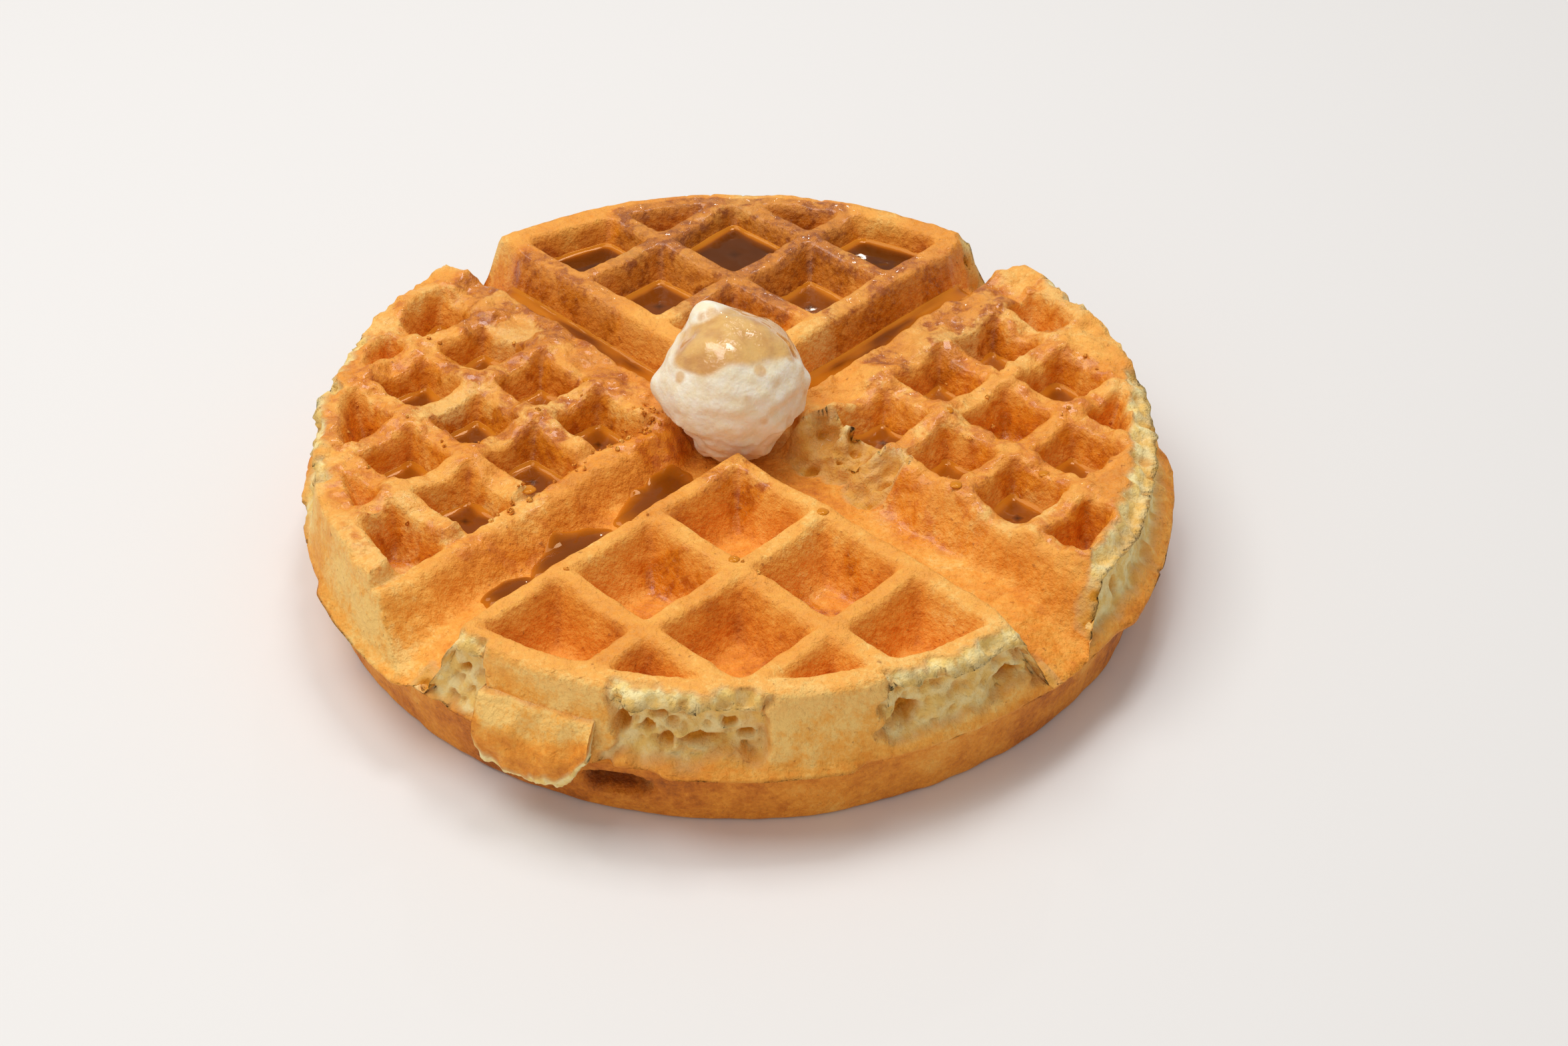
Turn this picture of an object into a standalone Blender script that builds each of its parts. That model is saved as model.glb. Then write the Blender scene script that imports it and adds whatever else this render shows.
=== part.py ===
"""Round thick waffle in four quarters parted by a cross of channels, with syrup and butter.

The front and far quarters have coarse pockets, the left and right quarters fine ones.
Lengths are in millimetres until a mesh is made. +Z is up and -Y is the side that faces the viewer.
"""
import math

import bmesh
import bpy
from mathutils import Vector

MM = 0.001

# Driving sizes of the whole waffle
THICKNESS = 32.0
TOP_RADIUS = 86.6
PARTING_RADIUS = 90.4
BOTTOM_RADIUS = 87.4
PARTING_HEIGHT = 16.0
SIDE_STEPS = 132

# Driving sizes of the pockets and of the cross of channels
COARSE_PITCH = 24.3
FINE_PITCH = 0.75 * COARSE_PITCH
RIDGE_WIDTH = 3.6
POCKET_DEPTH = 11.0
COARSE_DRAFT = 4.0
FINE_DRAFT = 3.4
RIDGE_ROUND = 0.9
POCKET_CORNER = 2.4
FIRST_RIDGE = 11.4
FINE_RIGHT_SHIFT = 1.4
LEFT_EDGE_SHIFT = 2.0
LEFT_EDGE_DROP = 3.2
LEFT_EDGE_START = 12.5
LEFT_EDGE_END = 88.0
LEFT_EDGE_OUTER = 6.0
RIM_INNER_RADIUS = 81.8
RIM_DRAFT = 3.5
CHANNEL_FLOOR_HALF = 5.5
CHANNEL_END = 77.0
CROSS_TURN = math.radians(-43.4)

# Driving sizes of the underside, whose channels end inside the rim
UNDER_DEPTH = 9.0
UNDER_CHANNEL_END = 77.0
UNDER_CHANNEL_HEIGHT = {"along": UNDER_DEPTH - 0.5, "across": UNDER_DEPTH - 0.58}

# How far cutters stand out of the faces that they open
CUTTER_PROUD = 0.3

# Clearances and syrup
GAP = 0.35
FLOOR = THICKNESS - POCKET_DEPTH
SYRUP_BOTTOM = FLOOR + GAP

# Parts of a pocket's depth at which its crease ends and its rounded lip starts
CREASE_PART = 0.12
CREASE_INSET = 0.9
LIP_PART = 0.92

# Butter
BUTTER_RADIUS = 15.4
BUTTER_CLEARANCE = 0.8
BUTTER_FREE_HEIGHT = THICKNESS + 1.5
BUTTER_CENTRE = Vector((-0.6, 2.4, THICKNESS + 4.4))

# Axes of the lattice: one runs to the front right, the other to the front left
ALONG = Vector((math.cos(CROSS_TURN), math.sin(CROSS_TURN)))
ACROSS = Vector((ALONG.y, -ALONG.x))

# Each quarter: signs along both axes, pitch, draft, shift outwards
QUARTERS = {
    "front": (1, 1, COARSE_PITCH, COARSE_DRAFT, 0.0),
    "far": (-1, -1, COARSE_PITCH, COARSE_DRAFT, 0.0),
    "left": (-1, 1, FINE_PITCH, FINE_DRAFT, 0.0),
    "right": (1, -1, FINE_PITCH, FINE_DRAFT, FINE_RIGHT_SHIFT),
}

# Height of the syrup over the pocket floor, for each pocket that holds a pool
POOL_DEPTHS = {
    "far": {(1, 0): 3.0, (0, 1): 2.4, (1, 1): 5.8, (2, 0): 4.4, (0, 2): 5.2, (2, 1): 5.6, (1, 2): 5.6},
    "left": {(0, 0): 2.2, (1, 0): 2.0, (0, 1): 2.4, (2, 0): 2.2, (1, 1): 2.6, (0, 2): 2.6,
             (3, 0): 2.0, (2, 1): 2.6, (1, 2): 2.2},
    "right": {(0, 0): 2.0, (0, 1): 1.9, (1, 0): 1.9, (0, 2): 1.8, (1, 2): 2.4, (2, 0): 2.2, (2, 1): 1.9},
}

# Stretches of the side whose crust is torn off: start and end azimuth in degrees, depth
TORN_STRETCHES = (
    (-134.0, -121.0, 1.9),
    (-103.5, -87.0, 2.9),
    (-73.0, -61.0, 2.2),
    (-60.0, -49.0, 1.7),
    (-38.0, -18.0, 2.2),
    (3.0, 36.0, 2.0),
    (44.0, 54.0, 1.8),
    (160.0, 196.0, 1.7),
)

# Stretches of the parting line that keep a lip of flash: start and end azimuth in degrees, width
FLASH_STRETCHES = (
    (-156.0, -131.0, 1.6),
    (-99.0, -73.0, 2.0),
)

# Lumps torn out of the crumb: centre, radii along, across and up
TORN_LUMPS = {
    "corner_of_right_quarter": ((17.0, -3.4, 31.0), (5.4, 4.6, 6.0)),
    "ridge_beside_corner": ((24.4, -7.2, 31.0), (6.6, 4.6, 6.6)),
    "front_hole": ((36.0, -80.5, 24.5), (3.2, 3.2, 2.6)),
    "front_crag": ((-8.5, -88.8, 24.0), (5.6, 3.0, 2.6)),
    "right_hole": ((57.6, -64.0, 26.0), (3.0, 3.0, 2.0)),
}

# Pocket in the lower side, under the hanging crust
LOW_HOLLOW_AZIMUTH = math.radians(-104.0)
LOW_HOLLOW_RADII = (7.6, 4.6, 3.6)
LOW_HOLLOW_HEIGHT = 8.6
LOW_HOLLOW_REACH = 90.0

# Hanging flap of crust: azimuths in degrees, and height of its torn edge at each of them
FLAP_EDGE = ((-120.5, 14.5), (-118.8, 9.6), (-115.0, 8.2), (-111.5, 7.7), (-109.0, 9.2), (-107.2, 13.4),
             (-105.6, 18.0))
FLAP_TOP = 22.5
FLAP_THICKNESS = 2.6
FLAP_BULGE = 94.4
FLAP_ROOT = 90.0

# Puddles beside the front quarter: distance along the channel, offset across it, half sizes
PUDDLES = {
    "near_butter": (23.0, 1.2, 9.5, 3.2),
    "middle": (48.0, 1.4, 8.0, 3.2),
    "outer": (65.5, 1.6, 5.6, 3.0),
}
PUDDLE_DEPTH = 1.2
PUDDLE_SIDES = 16

# Streams of syrup in the channels of the far side: distances from the centre
STREAM_START = 15.5
STREAM_END = 79.0
STREAM_DEPTH = 1.4


def clear_scene():
    for item in list(bpy.data.objects):
        bpy.data.objects.remove(item, do_unlink=True)


def make_material(name, colour, roughness):
    material = bpy.data.materials.new(name)
    material.use_nodes = True
    shader = material.node_tree.nodes["Principled BSDF"]
    shader.inputs["Base Color"].default_value = (*colour, 1.0)
    shader.inputs["Roughness"].default_value = roughness
    material.diffuse_color = (*colour, 1.0)
    return material


def lattice(along, across, height):
    """Point of the lattice axes in the waffle's own frame."""
    flat = ALONG * along + ACROSS * across
    return Vector((flat.x, flat.y, height))


def ripple(angle, height, seed):
    """Even, repeatable unevenness between -1 and 1."""
    return (math.sin(11.0 * angle + seed) * 0.45
            + math.sin(23.0 * angle + 1.7 * seed + 0.5 * height) * 0.35
            + math.sin(41.0 * angle - seed + 0.9 * height) * 0.2)


def ring_solid(name, rings, material):
    """Closed object from equal rings of points, lowest ring first, each anticlockwise from above."""
    mesh = bpy.data.meshes.new(name)
    work = bmesh.new()
    levels = [[work.verts.new(point * MM) for point in ring] for ring in rings]
    for low, high in zip(levels, levels[1:]):
        for index in range(len(low)):
            after = (index + 1) % len(low)
            work.faces.new((low[index], low[after], high[after], high[index]))
    work.faces.new(reversed(levels[0]))
    work.faces.new(levels[-1])
    bmesh.ops.recalc_face_normals(work, faces=work.faces)
    work.to_mesh(mesh)
    work.free()
    mesh.materials.append(material)
    piece = bpy.data.objects.new(name, mesh)
    bpy.context.collection.objects.link(piece)
    return piece


def boolean(target, operation, other):
    """Adds a Boolean to the target, and hides the other object as its cutter."""
    modifier = target.modifiers.new(other.name, "BOOLEAN")
    modifier.operation = operation
    modifier.object = other
    modifier.solver = "EXACT"
    other.hide_render = True
    other.display_type = "WIRE"


def between(value, pairs):
    """Straight interpolation in a list of (position, value) pairs."""
    for (low, first), (high, second) in zip(pairs, pairs[1:]):
        if value <= high:
            part = max(0.0, (value - low) / (high - low))
            return first + part * (second - first)
    return pairs[-1][1]


# Body of the waffle

SIDE_PROFILE = (
    (0.0, BOTTOM_RADIUS - 1.0),
    (1.0, BOTTOM_RADIUS),
    (6.0, 88.3),
    (11.0, 89.1),
    (PARTING_HEIGHT - 1.4, 89.8),
    (PARTING_HEIGHT - 0.5, PARTING_RADIUS),
    (PARTING_HEIGHT + 0.5, PARTING_RADIUS - 0.1),
    (PARTING_HEIGHT + 1.8, 89.6),
    (21.5, 88.9),
    (26.0, 88.0),
    (30.4, 87.2),
    (THICKNESS, TOP_RADIUS),
)
TEAR_BY_HEIGHT = ((0.0, 0.0), (16.0, 0.0), (17.8, 0.6), (21.5, 1.0), (26.0, 1.0), (30.4, 0.8), (32.0, 0.5))
TEAR_EDGE = 2.5


def stretch_size(stretches, azimuth):
    """Size given by the stretch that holds an azimuth in radians, fading at both ends, and its start."""
    for start, end, full in stretches:
        inside = (math.degrees(azimuth) - start) % 360.0
        if inside < end - start:
            return full * min(inside, end - start - inside, TEAR_EDGE) / TEAR_EDGE, start
    return 0.0, 0.0


def torn_depth(azimuth, height):
    """How far the torn crumb lies inside the crust."""
    depth, start = stretch_size(TORN_STRETCHES, azimuth)
    return depth * (0.8 + 0.35 * ripple(azimuth, height, start)) * between(height, TEAR_BY_HEIGHT)


def flash_width(azimuth, height):
    """How far the lip of flash stands out at the parting line."""
    if abs(height - PARTING_HEIGHT) > 0.6:
        return 0.0
    width, start = stretch_size(FLASH_STRETCHES, azimuth)
    return width * (0.85 + 0.25 * ripple(azimuth, height, start))


def side_ring(height, radius):
    ring = []
    for step in range(SIDE_STEPS):
        azimuth = 2.0 * math.pi * step / SIDE_STEPS
        reach = radius - torn_depth(azimuth, height) + flash_width(azimuth, height)
        reach += 0.25 * ripple(azimuth, height, 2.0)
        ring.append(Vector((reach * math.cos(azimuth), reach * math.sin(azimuth), height)))
    return ring


# Pockets

def rounded_square(middle_along, middle_across, halves, height):
    """Outline of a pocket at one height, with three points to each corner."""
    points = []
    half_along, half_across = halves
    corner = POCKET_CORNER
    for turn in range(4):
        quarter = turn * math.pi / 2.0 + math.pi / 4.0
        corner_along = math.copysign(half_along - corner, math.cos(quarter))
        corner_across = math.copysign(half_across - corner, math.sin(quarter))
        for bend in (-45.0, 0.0, 45.0):
            angle = quarter + math.radians(bend)
            points.append(lattice(middle_along + corner_along + corner * math.cos(angle),
                                  middle_across + corner_across + corner * math.sin(angle), height))
    return points[::-1]


def pocket_place(quarter, row, column):
    """Middle and half sizes of one pocket's opening along the two axes."""
    along_sign, across_sign, pitch, draft, shift = QUARTERS[quarter]
    half = (pitch - RIDGE_WIDTH) / 2.0
    edge = LEFT_EDGE_SHIFT if quarter == "left" and row == 0 else 0.0
    along = FIRST_RIDGE + shift + (row + 0.5) * pitch - edge / 2.0
    across = FIRST_RIDGE + shift + (column + 0.5) * pitch
    return along_sign * along, across_sign * across, half + edge / 2.0, half, draft


def inner_corner(quarter, row, column):
    """Distance from the centre to the nearest corner of a pocket."""
    along, across, half_along, half_across, _ = pocket_place(quarter, row, column)
    return math.hypot(abs(along) - half_along, abs(across) - half_across)


def pocket_rings(quarter, row, column, levels, gap):
    """Outlines of a pocket at several heights, drawn in by the draft and by a gap."""
    along, across, half_along, half_across, draft = pocket_place(quarter, row, column)
    rings = []
    for height in levels:
        part = (height - FLOOR) / POCKET_DEPTH
        inset = draft * max(0.0, 1.0 - part) + gap
        if part < CREASE_PART:
            inset += CREASE_INSET * (CREASE_PART - part) / CREASE_PART
        if part > LIP_PART:
            inset -= RIDGE_ROUND * (part - LIP_PART) / (1.0 - LIP_PART)
        halves = (half_along - inset, half_across - inset)
        rings.append(rounded_square(along, across, halves, height))
    return rings


POCKET_LEVELS = (FLOOR, FLOOR + CREASE_PART * POCKET_DEPTH, FLOOR + LIP_PART * POCKET_DEPTH,
                 THICKNESS + CUTTER_PROUD)
POCKETS_PER_SIDE = 4
CONE_SIDES = 96
CONE_FOOT = FLOOR - 2.0
CONE_TOP = THICKNESS + 1.5
FARTHEST_INNER_CORNER = 76.0


def all_pockets():
    for quarter in QUARTERS:
        for row in range(POCKETS_PER_SIDE):
            for column in range(POCKETS_PER_SIDE):
                if inner_corner(quarter, row, column) < FARTHEST_INNER_CORNER:
                    yield quarter, row, column


def underside_cutter(quarter, row, column, material):
    """Pocket in the underside, straight below the one on top."""
    along, across, half_along, half_across, draft = pocket_place(quarter, row, column)
    rings = []
    outline = ((1, 1), (1, -1), (-1, -1), (-1, 1))
    for height, inset in ((-CUTTER_PROUD, -CUTTER_PROUD), (UNDER_DEPTH, draft)):
        rings.append([lattice(along + sign_along * (half_along - inset),
                              across + sign_across * (half_across - inset), height)
                      for sign_along, sign_across in outline])
    return ring_solid(f"under_{quarter}_{row}_{column}", rings, material)


def circle(radius, height):
    angles = [2.0 * math.pi * step / CONE_SIDES for step in range(CONE_SIDES)]
    return [Vector((radius * math.cos(angle), radius * math.sin(angle), height)) for angle in angles]


def rim_cone(name, gap, top, material):
    """Inner face of the rim, which cuts off the outer pockets."""
    slope = RIM_DRAFT / POCKET_DEPTH
    rings = [circle(RIM_INNER_RADIUS + (height - THICKNESS) * slope - gap, height)
             for height in (CONE_FOOT, top)]
    return ring_solid(name, rings, material)


def reaches_rim(quarter, row, column):
    along, across, half_along, half_across, _ = pocket_place(quarter, row, column)
    return math.hypot(abs(along) + half_along, abs(across) + half_across) > RIM_INNER_RADIUS - RIM_DRAFT


# Channels

MOUTH = FIRST_RIDGE - RIDGE_WIDTH / 2.0
CHANNEL_FLOOR = {"along": FLOOR + 0.5, "across": FLOOR + 0.42}

# Half widths of each channel's mouth and floor on the low and high side of its other axis, behind and
# ahead of the centre: behind it, the banks of the fine quarters stand close to the far quarter
PLAIN_BANK = (MOUTH, CHANNEL_FLOOR_HALF)
FAR_BANK = (MOUTH - 1.4, CHANNEL_FLOOR_HALF - 0.3)
CHANNEL_BANKS = {
    "along": ((FAR_BANK, (MOUTH - 5.4, 1.2)), ((MOUTH + 2.4, CHANNEL_FLOOR_HALF), PLAIN_BANK)),
    "across": ((FAR_BANK, (MOUTH - 4.8, 1.8)), ((MOUTH + 0.4, 3.0), PLAIN_BANK)),
}
CROSSING_HALF = 9.0
CROSSING_END = 15.0


def arm_point(channel, distance, offset, height):
    """Point of a channel: signed distance from the centre, and offset along the other axis."""
    if channel == "along":
        return lattice(distance, offset, height)
    return lattice(offset, distance, height)


def channel_section(channel, distance, banks, floor, widen):
    """Cross section of a channel, closed above the waffle's top."""
    above = THICKNESS + 1.0
    shoulder = THICKNESS - 1.0
    (low_mouth, low_foot), (high_mouth, high_foot) = banks
    outline = (
        (-low_mouth - RIDGE_ROUND - widen, above),
        (-low_mouth - widen, shoulder),
        (-low_foot - 1.0 - widen, floor + 1.2),
        (-low_foot - widen, floor),
        (high_foot + widen, floor),
        (high_foot + 1.0 + widen, floor + 1.2),
        (high_mouth + widen, shoulder),
        (high_mouth + RIDGE_ROUND + widen, above),
    )
    return [arm_point(channel, distance, offset, height) for offset, height in outline]


def channel_cutter(channel, material):
    """Trough from rim to rim, whose floor falls to the parting line at both ends."""
    floor = CHANNEL_FLOOR[channel]
    lip = PARTING_HEIGHT + floor - FLOOR
    behind, ahead = CHANNEL_BANKS[channel]
    ends = (
        (CHANNEL_END, floor, 0.0),
        (PARTING_RADIUS - 3.0, lip + 1.0, 2.0),
        (PARTING_RADIUS + 3.0, lip + 0.6, 2.6),
    )
    sections = [channel_section(channel, -distance, behind, low, widen)
                for distance, low, widen in reversed(ends)]
    sections.append(channel_section(channel, -CROSSING_END, behind, floor, 0.0))
    sections.append(channel_section(channel, -CROSSING_HALF, (PLAIN_BANK, PLAIN_BANK), floor, 0.0))
    sections.append(channel_section(channel, CROSSING_HALF, (PLAIN_BANK, PLAIN_BANK), floor, 0.0))
    sections.append(channel_section(channel, CROSSING_END, ahead, floor, 0.0))
    sections += [channel_section(channel, distance, ahead, low, widen) for distance, low, widen in ends]
    return ring_solid(f"channel_{channel}", sections, material)


def underside_channel(channel, material):
    """Trough in the underside, which stops short of the rim."""
    sections = []
    for distance in (-UNDER_CHANNEL_END, UNDER_CHANNEL_END):
        height = UNDER_CHANNEL_HEIGHT[channel]
        outline = ((-MOUTH, -CUTTER_PROUD), (-CHANNEL_FLOOR_HALF, height),
                   (CHANNEL_FLOOR_HALF, height), (MOUTH, -CUTTER_PROUD))
        sections.append([arm_point(channel, distance, offset, level) for offset, level in outline])
    return ring_solid(f"under_channel_{channel}", sections, material)


# Torn places

def lump(name, radii, seed, material, subdivisions=2):
    """Uneven ball with three radii, at the origin."""
    mesh = bpy.data.meshes.new(name)
    work = bmesh.new()
    bmesh.ops.create_icosphere(work, subdivisions=subdivisions, radius=1.0)
    for vert in work.verts:
        spot = vert.co.normalized()
        uneven = math.sin(5.0 * spot.x + seed) * math.cos(4.0 * spot.y - seed)
        uneven += 0.6 * math.sin(7.0 * spot.z + seed)
        spot *= 1.0 + 0.13 * uneven
        vert.co = Vector((spot.x * radii[0], spot.y * radii[1], spot.z * radii[2])) * MM
    work.to_mesh(mesh)
    work.free()
    mesh.materials.append(material)
    piece = bpy.data.objects.new(name, mesh)
    bpy.context.collection.objects.link(piece)
    return piece


def flap_ring(degrees, edge):
    """Cross section of the hanging crust at one azimuth, from its root down to its torn edge."""
    azimuth = math.radians(degrees)
    middle = (FLAP_TOP + edge) / 2.0
    outer = ((FLAP_ROOT, FLAP_TOP), (FLAP_BULGE - 0.6, middle + 1.5), (FLAP_BULGE, middle - 2.0),
             (FLAP_BULGE, edge))
    inner = tuple((radius - FLAP_THICKNESS, height - 0.4) for radius, height in reversed(outer))
    return [Vector((radius * math.cos(azimuth), radius * math.sin(azimuth), height))
            for radius, height in outer + inner]


def left_edge_bar(material):
    """Bar above the left quarter's edge ridge, which is lower than the other ridges."""
    rings = []
    for height in (THICKNESS - LEFT_EDGE_DROP, THICKNESS + 1.0):
        grow = 0.8 * (height - THICKNESS + LEFT_EDGE_DROP) / LEFT_EDGE_DROP
        inner = FIRST_RIDGE + RIDGE_WIDTH / 2.0 - LEFT_EDGE_SHIFT + 1.0 + grow
        outline = ((-inner, LEFT_EDGE_START), (-LEFT_EDGE_OUTER, LEFT_EDGE_START),
                   (-LEFT_EDGE_OUTER, LEFT_EDGE_END), (-inner, LEFT_EDGE_END))
        rings.append([lattice(along, across, height) for along, across in outline])
    return ring_solid("left_edge_bar", rings, material)


def build_waffle(material):
    body = ring_solid("waffle", [side_ring(height, radius) for height, radius in SIDE_PROFILE], material)

    flap = ring_solid("flap", [flap_ring(degrees, edge) for degrees, edge in FLAP_EDGE], material)
    boolean(body, "UNION", flap)

    cone = rim_cone("rim_cone", 0.0, CONE_TOP, material)
    under_cone = rim_cone("under_cone", 0.0, CONE_TOP, material)
    under_cone.scale.z = -1.0
    under_cone.location.z = THICKNESS * MM
    for quarter, row, column in all_pockets():
        rings = pocket_rings(quarter, row, column, POCKET_LEVELS, 0.0)
        cutter = ring_solid(f"pocket_{quarter}_{row}_{column}", rings, material)
        if reaches_rim(quarter, row, column):
            boolean(cutter, "INTERSECT", cone)
        boolean(body, "DIFFERENCE", cutter)
        under = underside_cutter(quarter, row, column, material)
        if reaches_rim(quarter, row, column):
            boolean(under, "INTERSECT", under_cone)
        boolean(body, "DIFFERENCE", under)

    for channel in CHANNEL_FLOOR:
        boolean(body, "DIFFERENCE", channel_cutter(channel, material))
        boolean(body, "DIFFERENCE", underside_channel(channel, material))
    boolean(body, "DIFFERENCE", left_edge_bar(material))

    for seed, (name, (centre, radii)) in enumerate(TORN_LUMPS.items()):
        hollow = lump(name, radii, seed, material)
        hollow.location = Vector(centre) * MM
        boolean(body, "DIFFERENCE", hollow)
    hollow = lump("low_hollow", LOW_HOLLOW_RADII, 4.0, material)
    hollow.rotation_euler.z = LOW_HOLLOW_AZIMUTH + math.pi / 2.0
    hollow.location = Vector((LOW_HOLLOW_REACH * math.cos(LOW_HOLLOW_AZIMUTH),
                              LOW_HOLLOW_REACH * math.sin(LOW_HOLLOW_AZIMUTH), LOW_HOLLOW_HEIGHT)) * MM
    boolean(body, "DIFFERENCE", hollow)
    return body


# Syrup

def build_pools(material):
    """One pool in each pocket that holds syrup."""
    pools = []
    for quarter, depths in POOL_DEPTHS.items():
        for (row, column), depth in depths.items():
            levels = (SYRUP_BOTTOM, SYRUP_BOTTOM + 0.35 * depth, FLOOR + depth)
            rings = pocket_rings(quarter, row, column, levels, GAP)
            pool = ring_solid(f"syrup_{quarter}_{row}_{column}", rings, material)
            if reaches_rim(quarter, row, column):
                cone = rim_cone(f"rim_cone_{quarter}_{row}_{column}", GAP, THICKNESS, material)
                boolean(pool, "INTERSECT", cone)
            pools.append(pool)
    return pools


def build_streams(material):
    """Syrup that runs along the two channels of the far side."""
    streams = []
    for name, channel in (("far_left", "along"), ("far_right", "across")):
        floor = CHANNEL_FLOOR["along"] + GAP
        surface = floor + STREAM_DEPTH
        (_, low_foot), (_, high_foot) = CHANNEL_BANKS[channel][0]
        sections = []
        for part in (0.0, 0.06, 0.35, 0.65, 0.94, 1.0):
            distance = -STREAM_START - part * (STREAM_END - STREAM_START)
            full = 0.55 if part in (0.0, 1.0) else 1.0
            low, high = low_foot * full, high_foot * full
            drop = 0.0 if full == 1.0 else 1.2
            outline = ((-low - 0.6, surface - drop), (-low + 0.3, floor), (high - 0.3, floor),
                       (high + 0.6, surface - drop))
            sections.append([arm_point(channel, distance, offset, height) for offset, height in outline])
        streams.append(ring_solid(f"syrup_stream_{name}", sections, material))
    return streams


def build_puddles(material):
    """Thin puddles in the front left channel."""
    puddles = []
    for name, (distance, offset, half_length, half_width) in PUDDLES.items():
        rings = []
        for height, size in ((0.0, 0.9), (0.5 * PUDDLE_DEPTH, 1.0), (PUDDLE_DEPTH, 0.8)):
            ring = []
            for step in range(PUDDLE_SIDES):
                angle = 2.0 * math.pi * step / PUDDLE_SIDES
                reach = size * (1.0 + 0.1 * math.sin(3.0 * angle + distance))
                ring.append(lattice(offset + half_width * reach * math.sin(angle),
                                    distance + half_length * reach * math.cos(angle),
                                    CHANNEL_FLOOR["along"] + GAP + height))
            rings.append(ring)
        puddles.append(ring_solid(f"syrup_puddle_{name}", rings, material))
    return puddles


# Butter

CROSSING_FLOOR_REACH = CHANNEL_FLOOR_HALF * math.sqrt(2.0)
CROSSING_TOP_REACH = MOUTH * math.sqrt(2.0)
BUTTER_KNOBS = (
    (Vector((-0.30, 0.60, 0.74)), 0.16, 9.0),
    (Vector((-1.00, -0.10, 0.05)), 0.07, 30.0),
    (Vector((0.95, -0.05, 0.18)), 0.04, 30.0),
)


def build_butter(material):
    """Scooped ball that has settled into the crossing, so its lower part keeps clear of the corners."""
    butter = lump("butter_scoop", (1.0, 1.0, 1.0), 0.0, material, subdivisions=4)
    for vert in butter.data.vertices:
        spot = vert.co.normalized()
        swell = 1.0 + 0.022 * math.sin(5.0 * spot.x + 3.0 * spot.z)
        swell += 0.016 * math.sin(9.0 * spot.y + 4.0 * spot.x)
        for knob, height, tightness in BUTTER_KNOBS:
            swell += height * math.exp(-tightness * (spot - knob.normalized()).length_squared)
        place = spot * BUTTER_RADIUS * swell
        height = BUTTER_CENTRE.z + place.z
        if height < BUTTER_FREE_HEIGHT:
            floor = CHANNEL_FLOOR["along"] + GAP
            height = max(height, floor)
            part = (height - floor) / (BUTTER_FREE_HEIGHT - floor)
            limit = CROSSING_FLOOR_REACH + part * (CROSSING_TOP_REACH - CROSSING_FLOOR_REACH)
            limit -= BUTTER_CLEARANCE
            flat = Vector((place.x + BUTTER_CENTRE.x, place.y + BUTTER_CENTRE.y))
            if flat.length > limit:
                flat *= limit / flat.length
            place = Vector((flat.x - BUTTER_CENTRE.x, flat.y - BUTTER_CENTRE.y, height - BUTTER_CENTRE.z))
        vert.co = place * MM
    butter.location = BUTTER_CENTRE * MM
    return butter


def stand_on_origin(pieces):
    """Parents the pieces to an empty, placed so that their box stands on the origin."""
    frame = bpy.data.objects.new("waffle_frame", None)
    bpy.context.collection.objects.link(frame)
    bpy.context.view_layer.update()
    graph = bpy.context.evaluated_depsgraph_get()
    corners = []
    for piece in pieces:
        shown = piece.evaluated_get(graph)
        corners += [shown.matrix_world @ vert.co for vert in shown.data.vertices]
    low = [min(corner[axis] for corner in corners) for axis in range(3)]
    high = [max(corner[axis] for corner in corners) for axis in range(3)]
    for item in bpy.data.objects:
        if item is not frame:
            item.parent = frame
    frame.location = (-(low[0] + high[0]) / 2.0, -(low[1] + high[1]) / 2.0, -low[2])


def main():
    clear_scene()
    crust = make_material("waffle crust", (0.78, 0.36, 0.11), 0.6)
    syrup = make_material("syrup", (0.22, 0.05, 0.006), 0.1)
    butter = make_material("whipped butter", (0.87, 0.79, 0.60), 0.4)
    pieces = [build_waffle(crust), build_butter(butter)]
    pieces += build_pools(syrup) + build_streams(syrup) + build_puddles(syrup)
    for piece in pieces:
        piece.data.shade_smooth()
        piece.data.set_sharp_from_angle(angle=math.radians(40.0))
    stand_on_origin(pieces)


main()
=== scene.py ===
"""Round thick waffle with butter and syrup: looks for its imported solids.

Sizes are in millimetres and are turned to metres when a mesh is made. The lattice of ridges is turned
against the object's own axes: one axis of it, along, runs to the front right, and across to the front left.
"""
import math

import bpy
import numpy as np
from mathutils import Matrix, Vector


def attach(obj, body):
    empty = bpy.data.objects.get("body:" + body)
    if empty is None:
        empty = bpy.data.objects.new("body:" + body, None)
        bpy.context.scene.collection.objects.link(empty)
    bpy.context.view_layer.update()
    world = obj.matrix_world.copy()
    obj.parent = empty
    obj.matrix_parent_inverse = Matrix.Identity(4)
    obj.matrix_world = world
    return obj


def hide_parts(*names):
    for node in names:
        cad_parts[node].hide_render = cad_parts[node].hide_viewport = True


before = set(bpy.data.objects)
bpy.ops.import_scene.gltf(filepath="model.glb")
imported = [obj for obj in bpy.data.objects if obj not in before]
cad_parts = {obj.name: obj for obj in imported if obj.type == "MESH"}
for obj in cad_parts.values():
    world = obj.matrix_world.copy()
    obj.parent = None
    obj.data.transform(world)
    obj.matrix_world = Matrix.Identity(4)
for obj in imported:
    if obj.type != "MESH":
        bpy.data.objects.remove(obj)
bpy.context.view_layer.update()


# The upper half of the waffle: a baked cake whose top is moulded with ridges, square pockets and a cross of
# channels. It is one even net of small squares, lifted to the moulded height and then roughened like crust,
# and closed by the upper side wall, which runs down to the parting line of the two baking plates.

MM = 0.001
FRAME_SHIFT = np.array([0.0131, 0.8241, 0.0])
CROSS_TURN = math.radians(-43.4)
ALONG = np.array([math.cos(CROSS_TURN), math.sin(CROSS_TURN)])
ACROSS = np.array([ALONG[1], -ALONG[0]])

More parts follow.
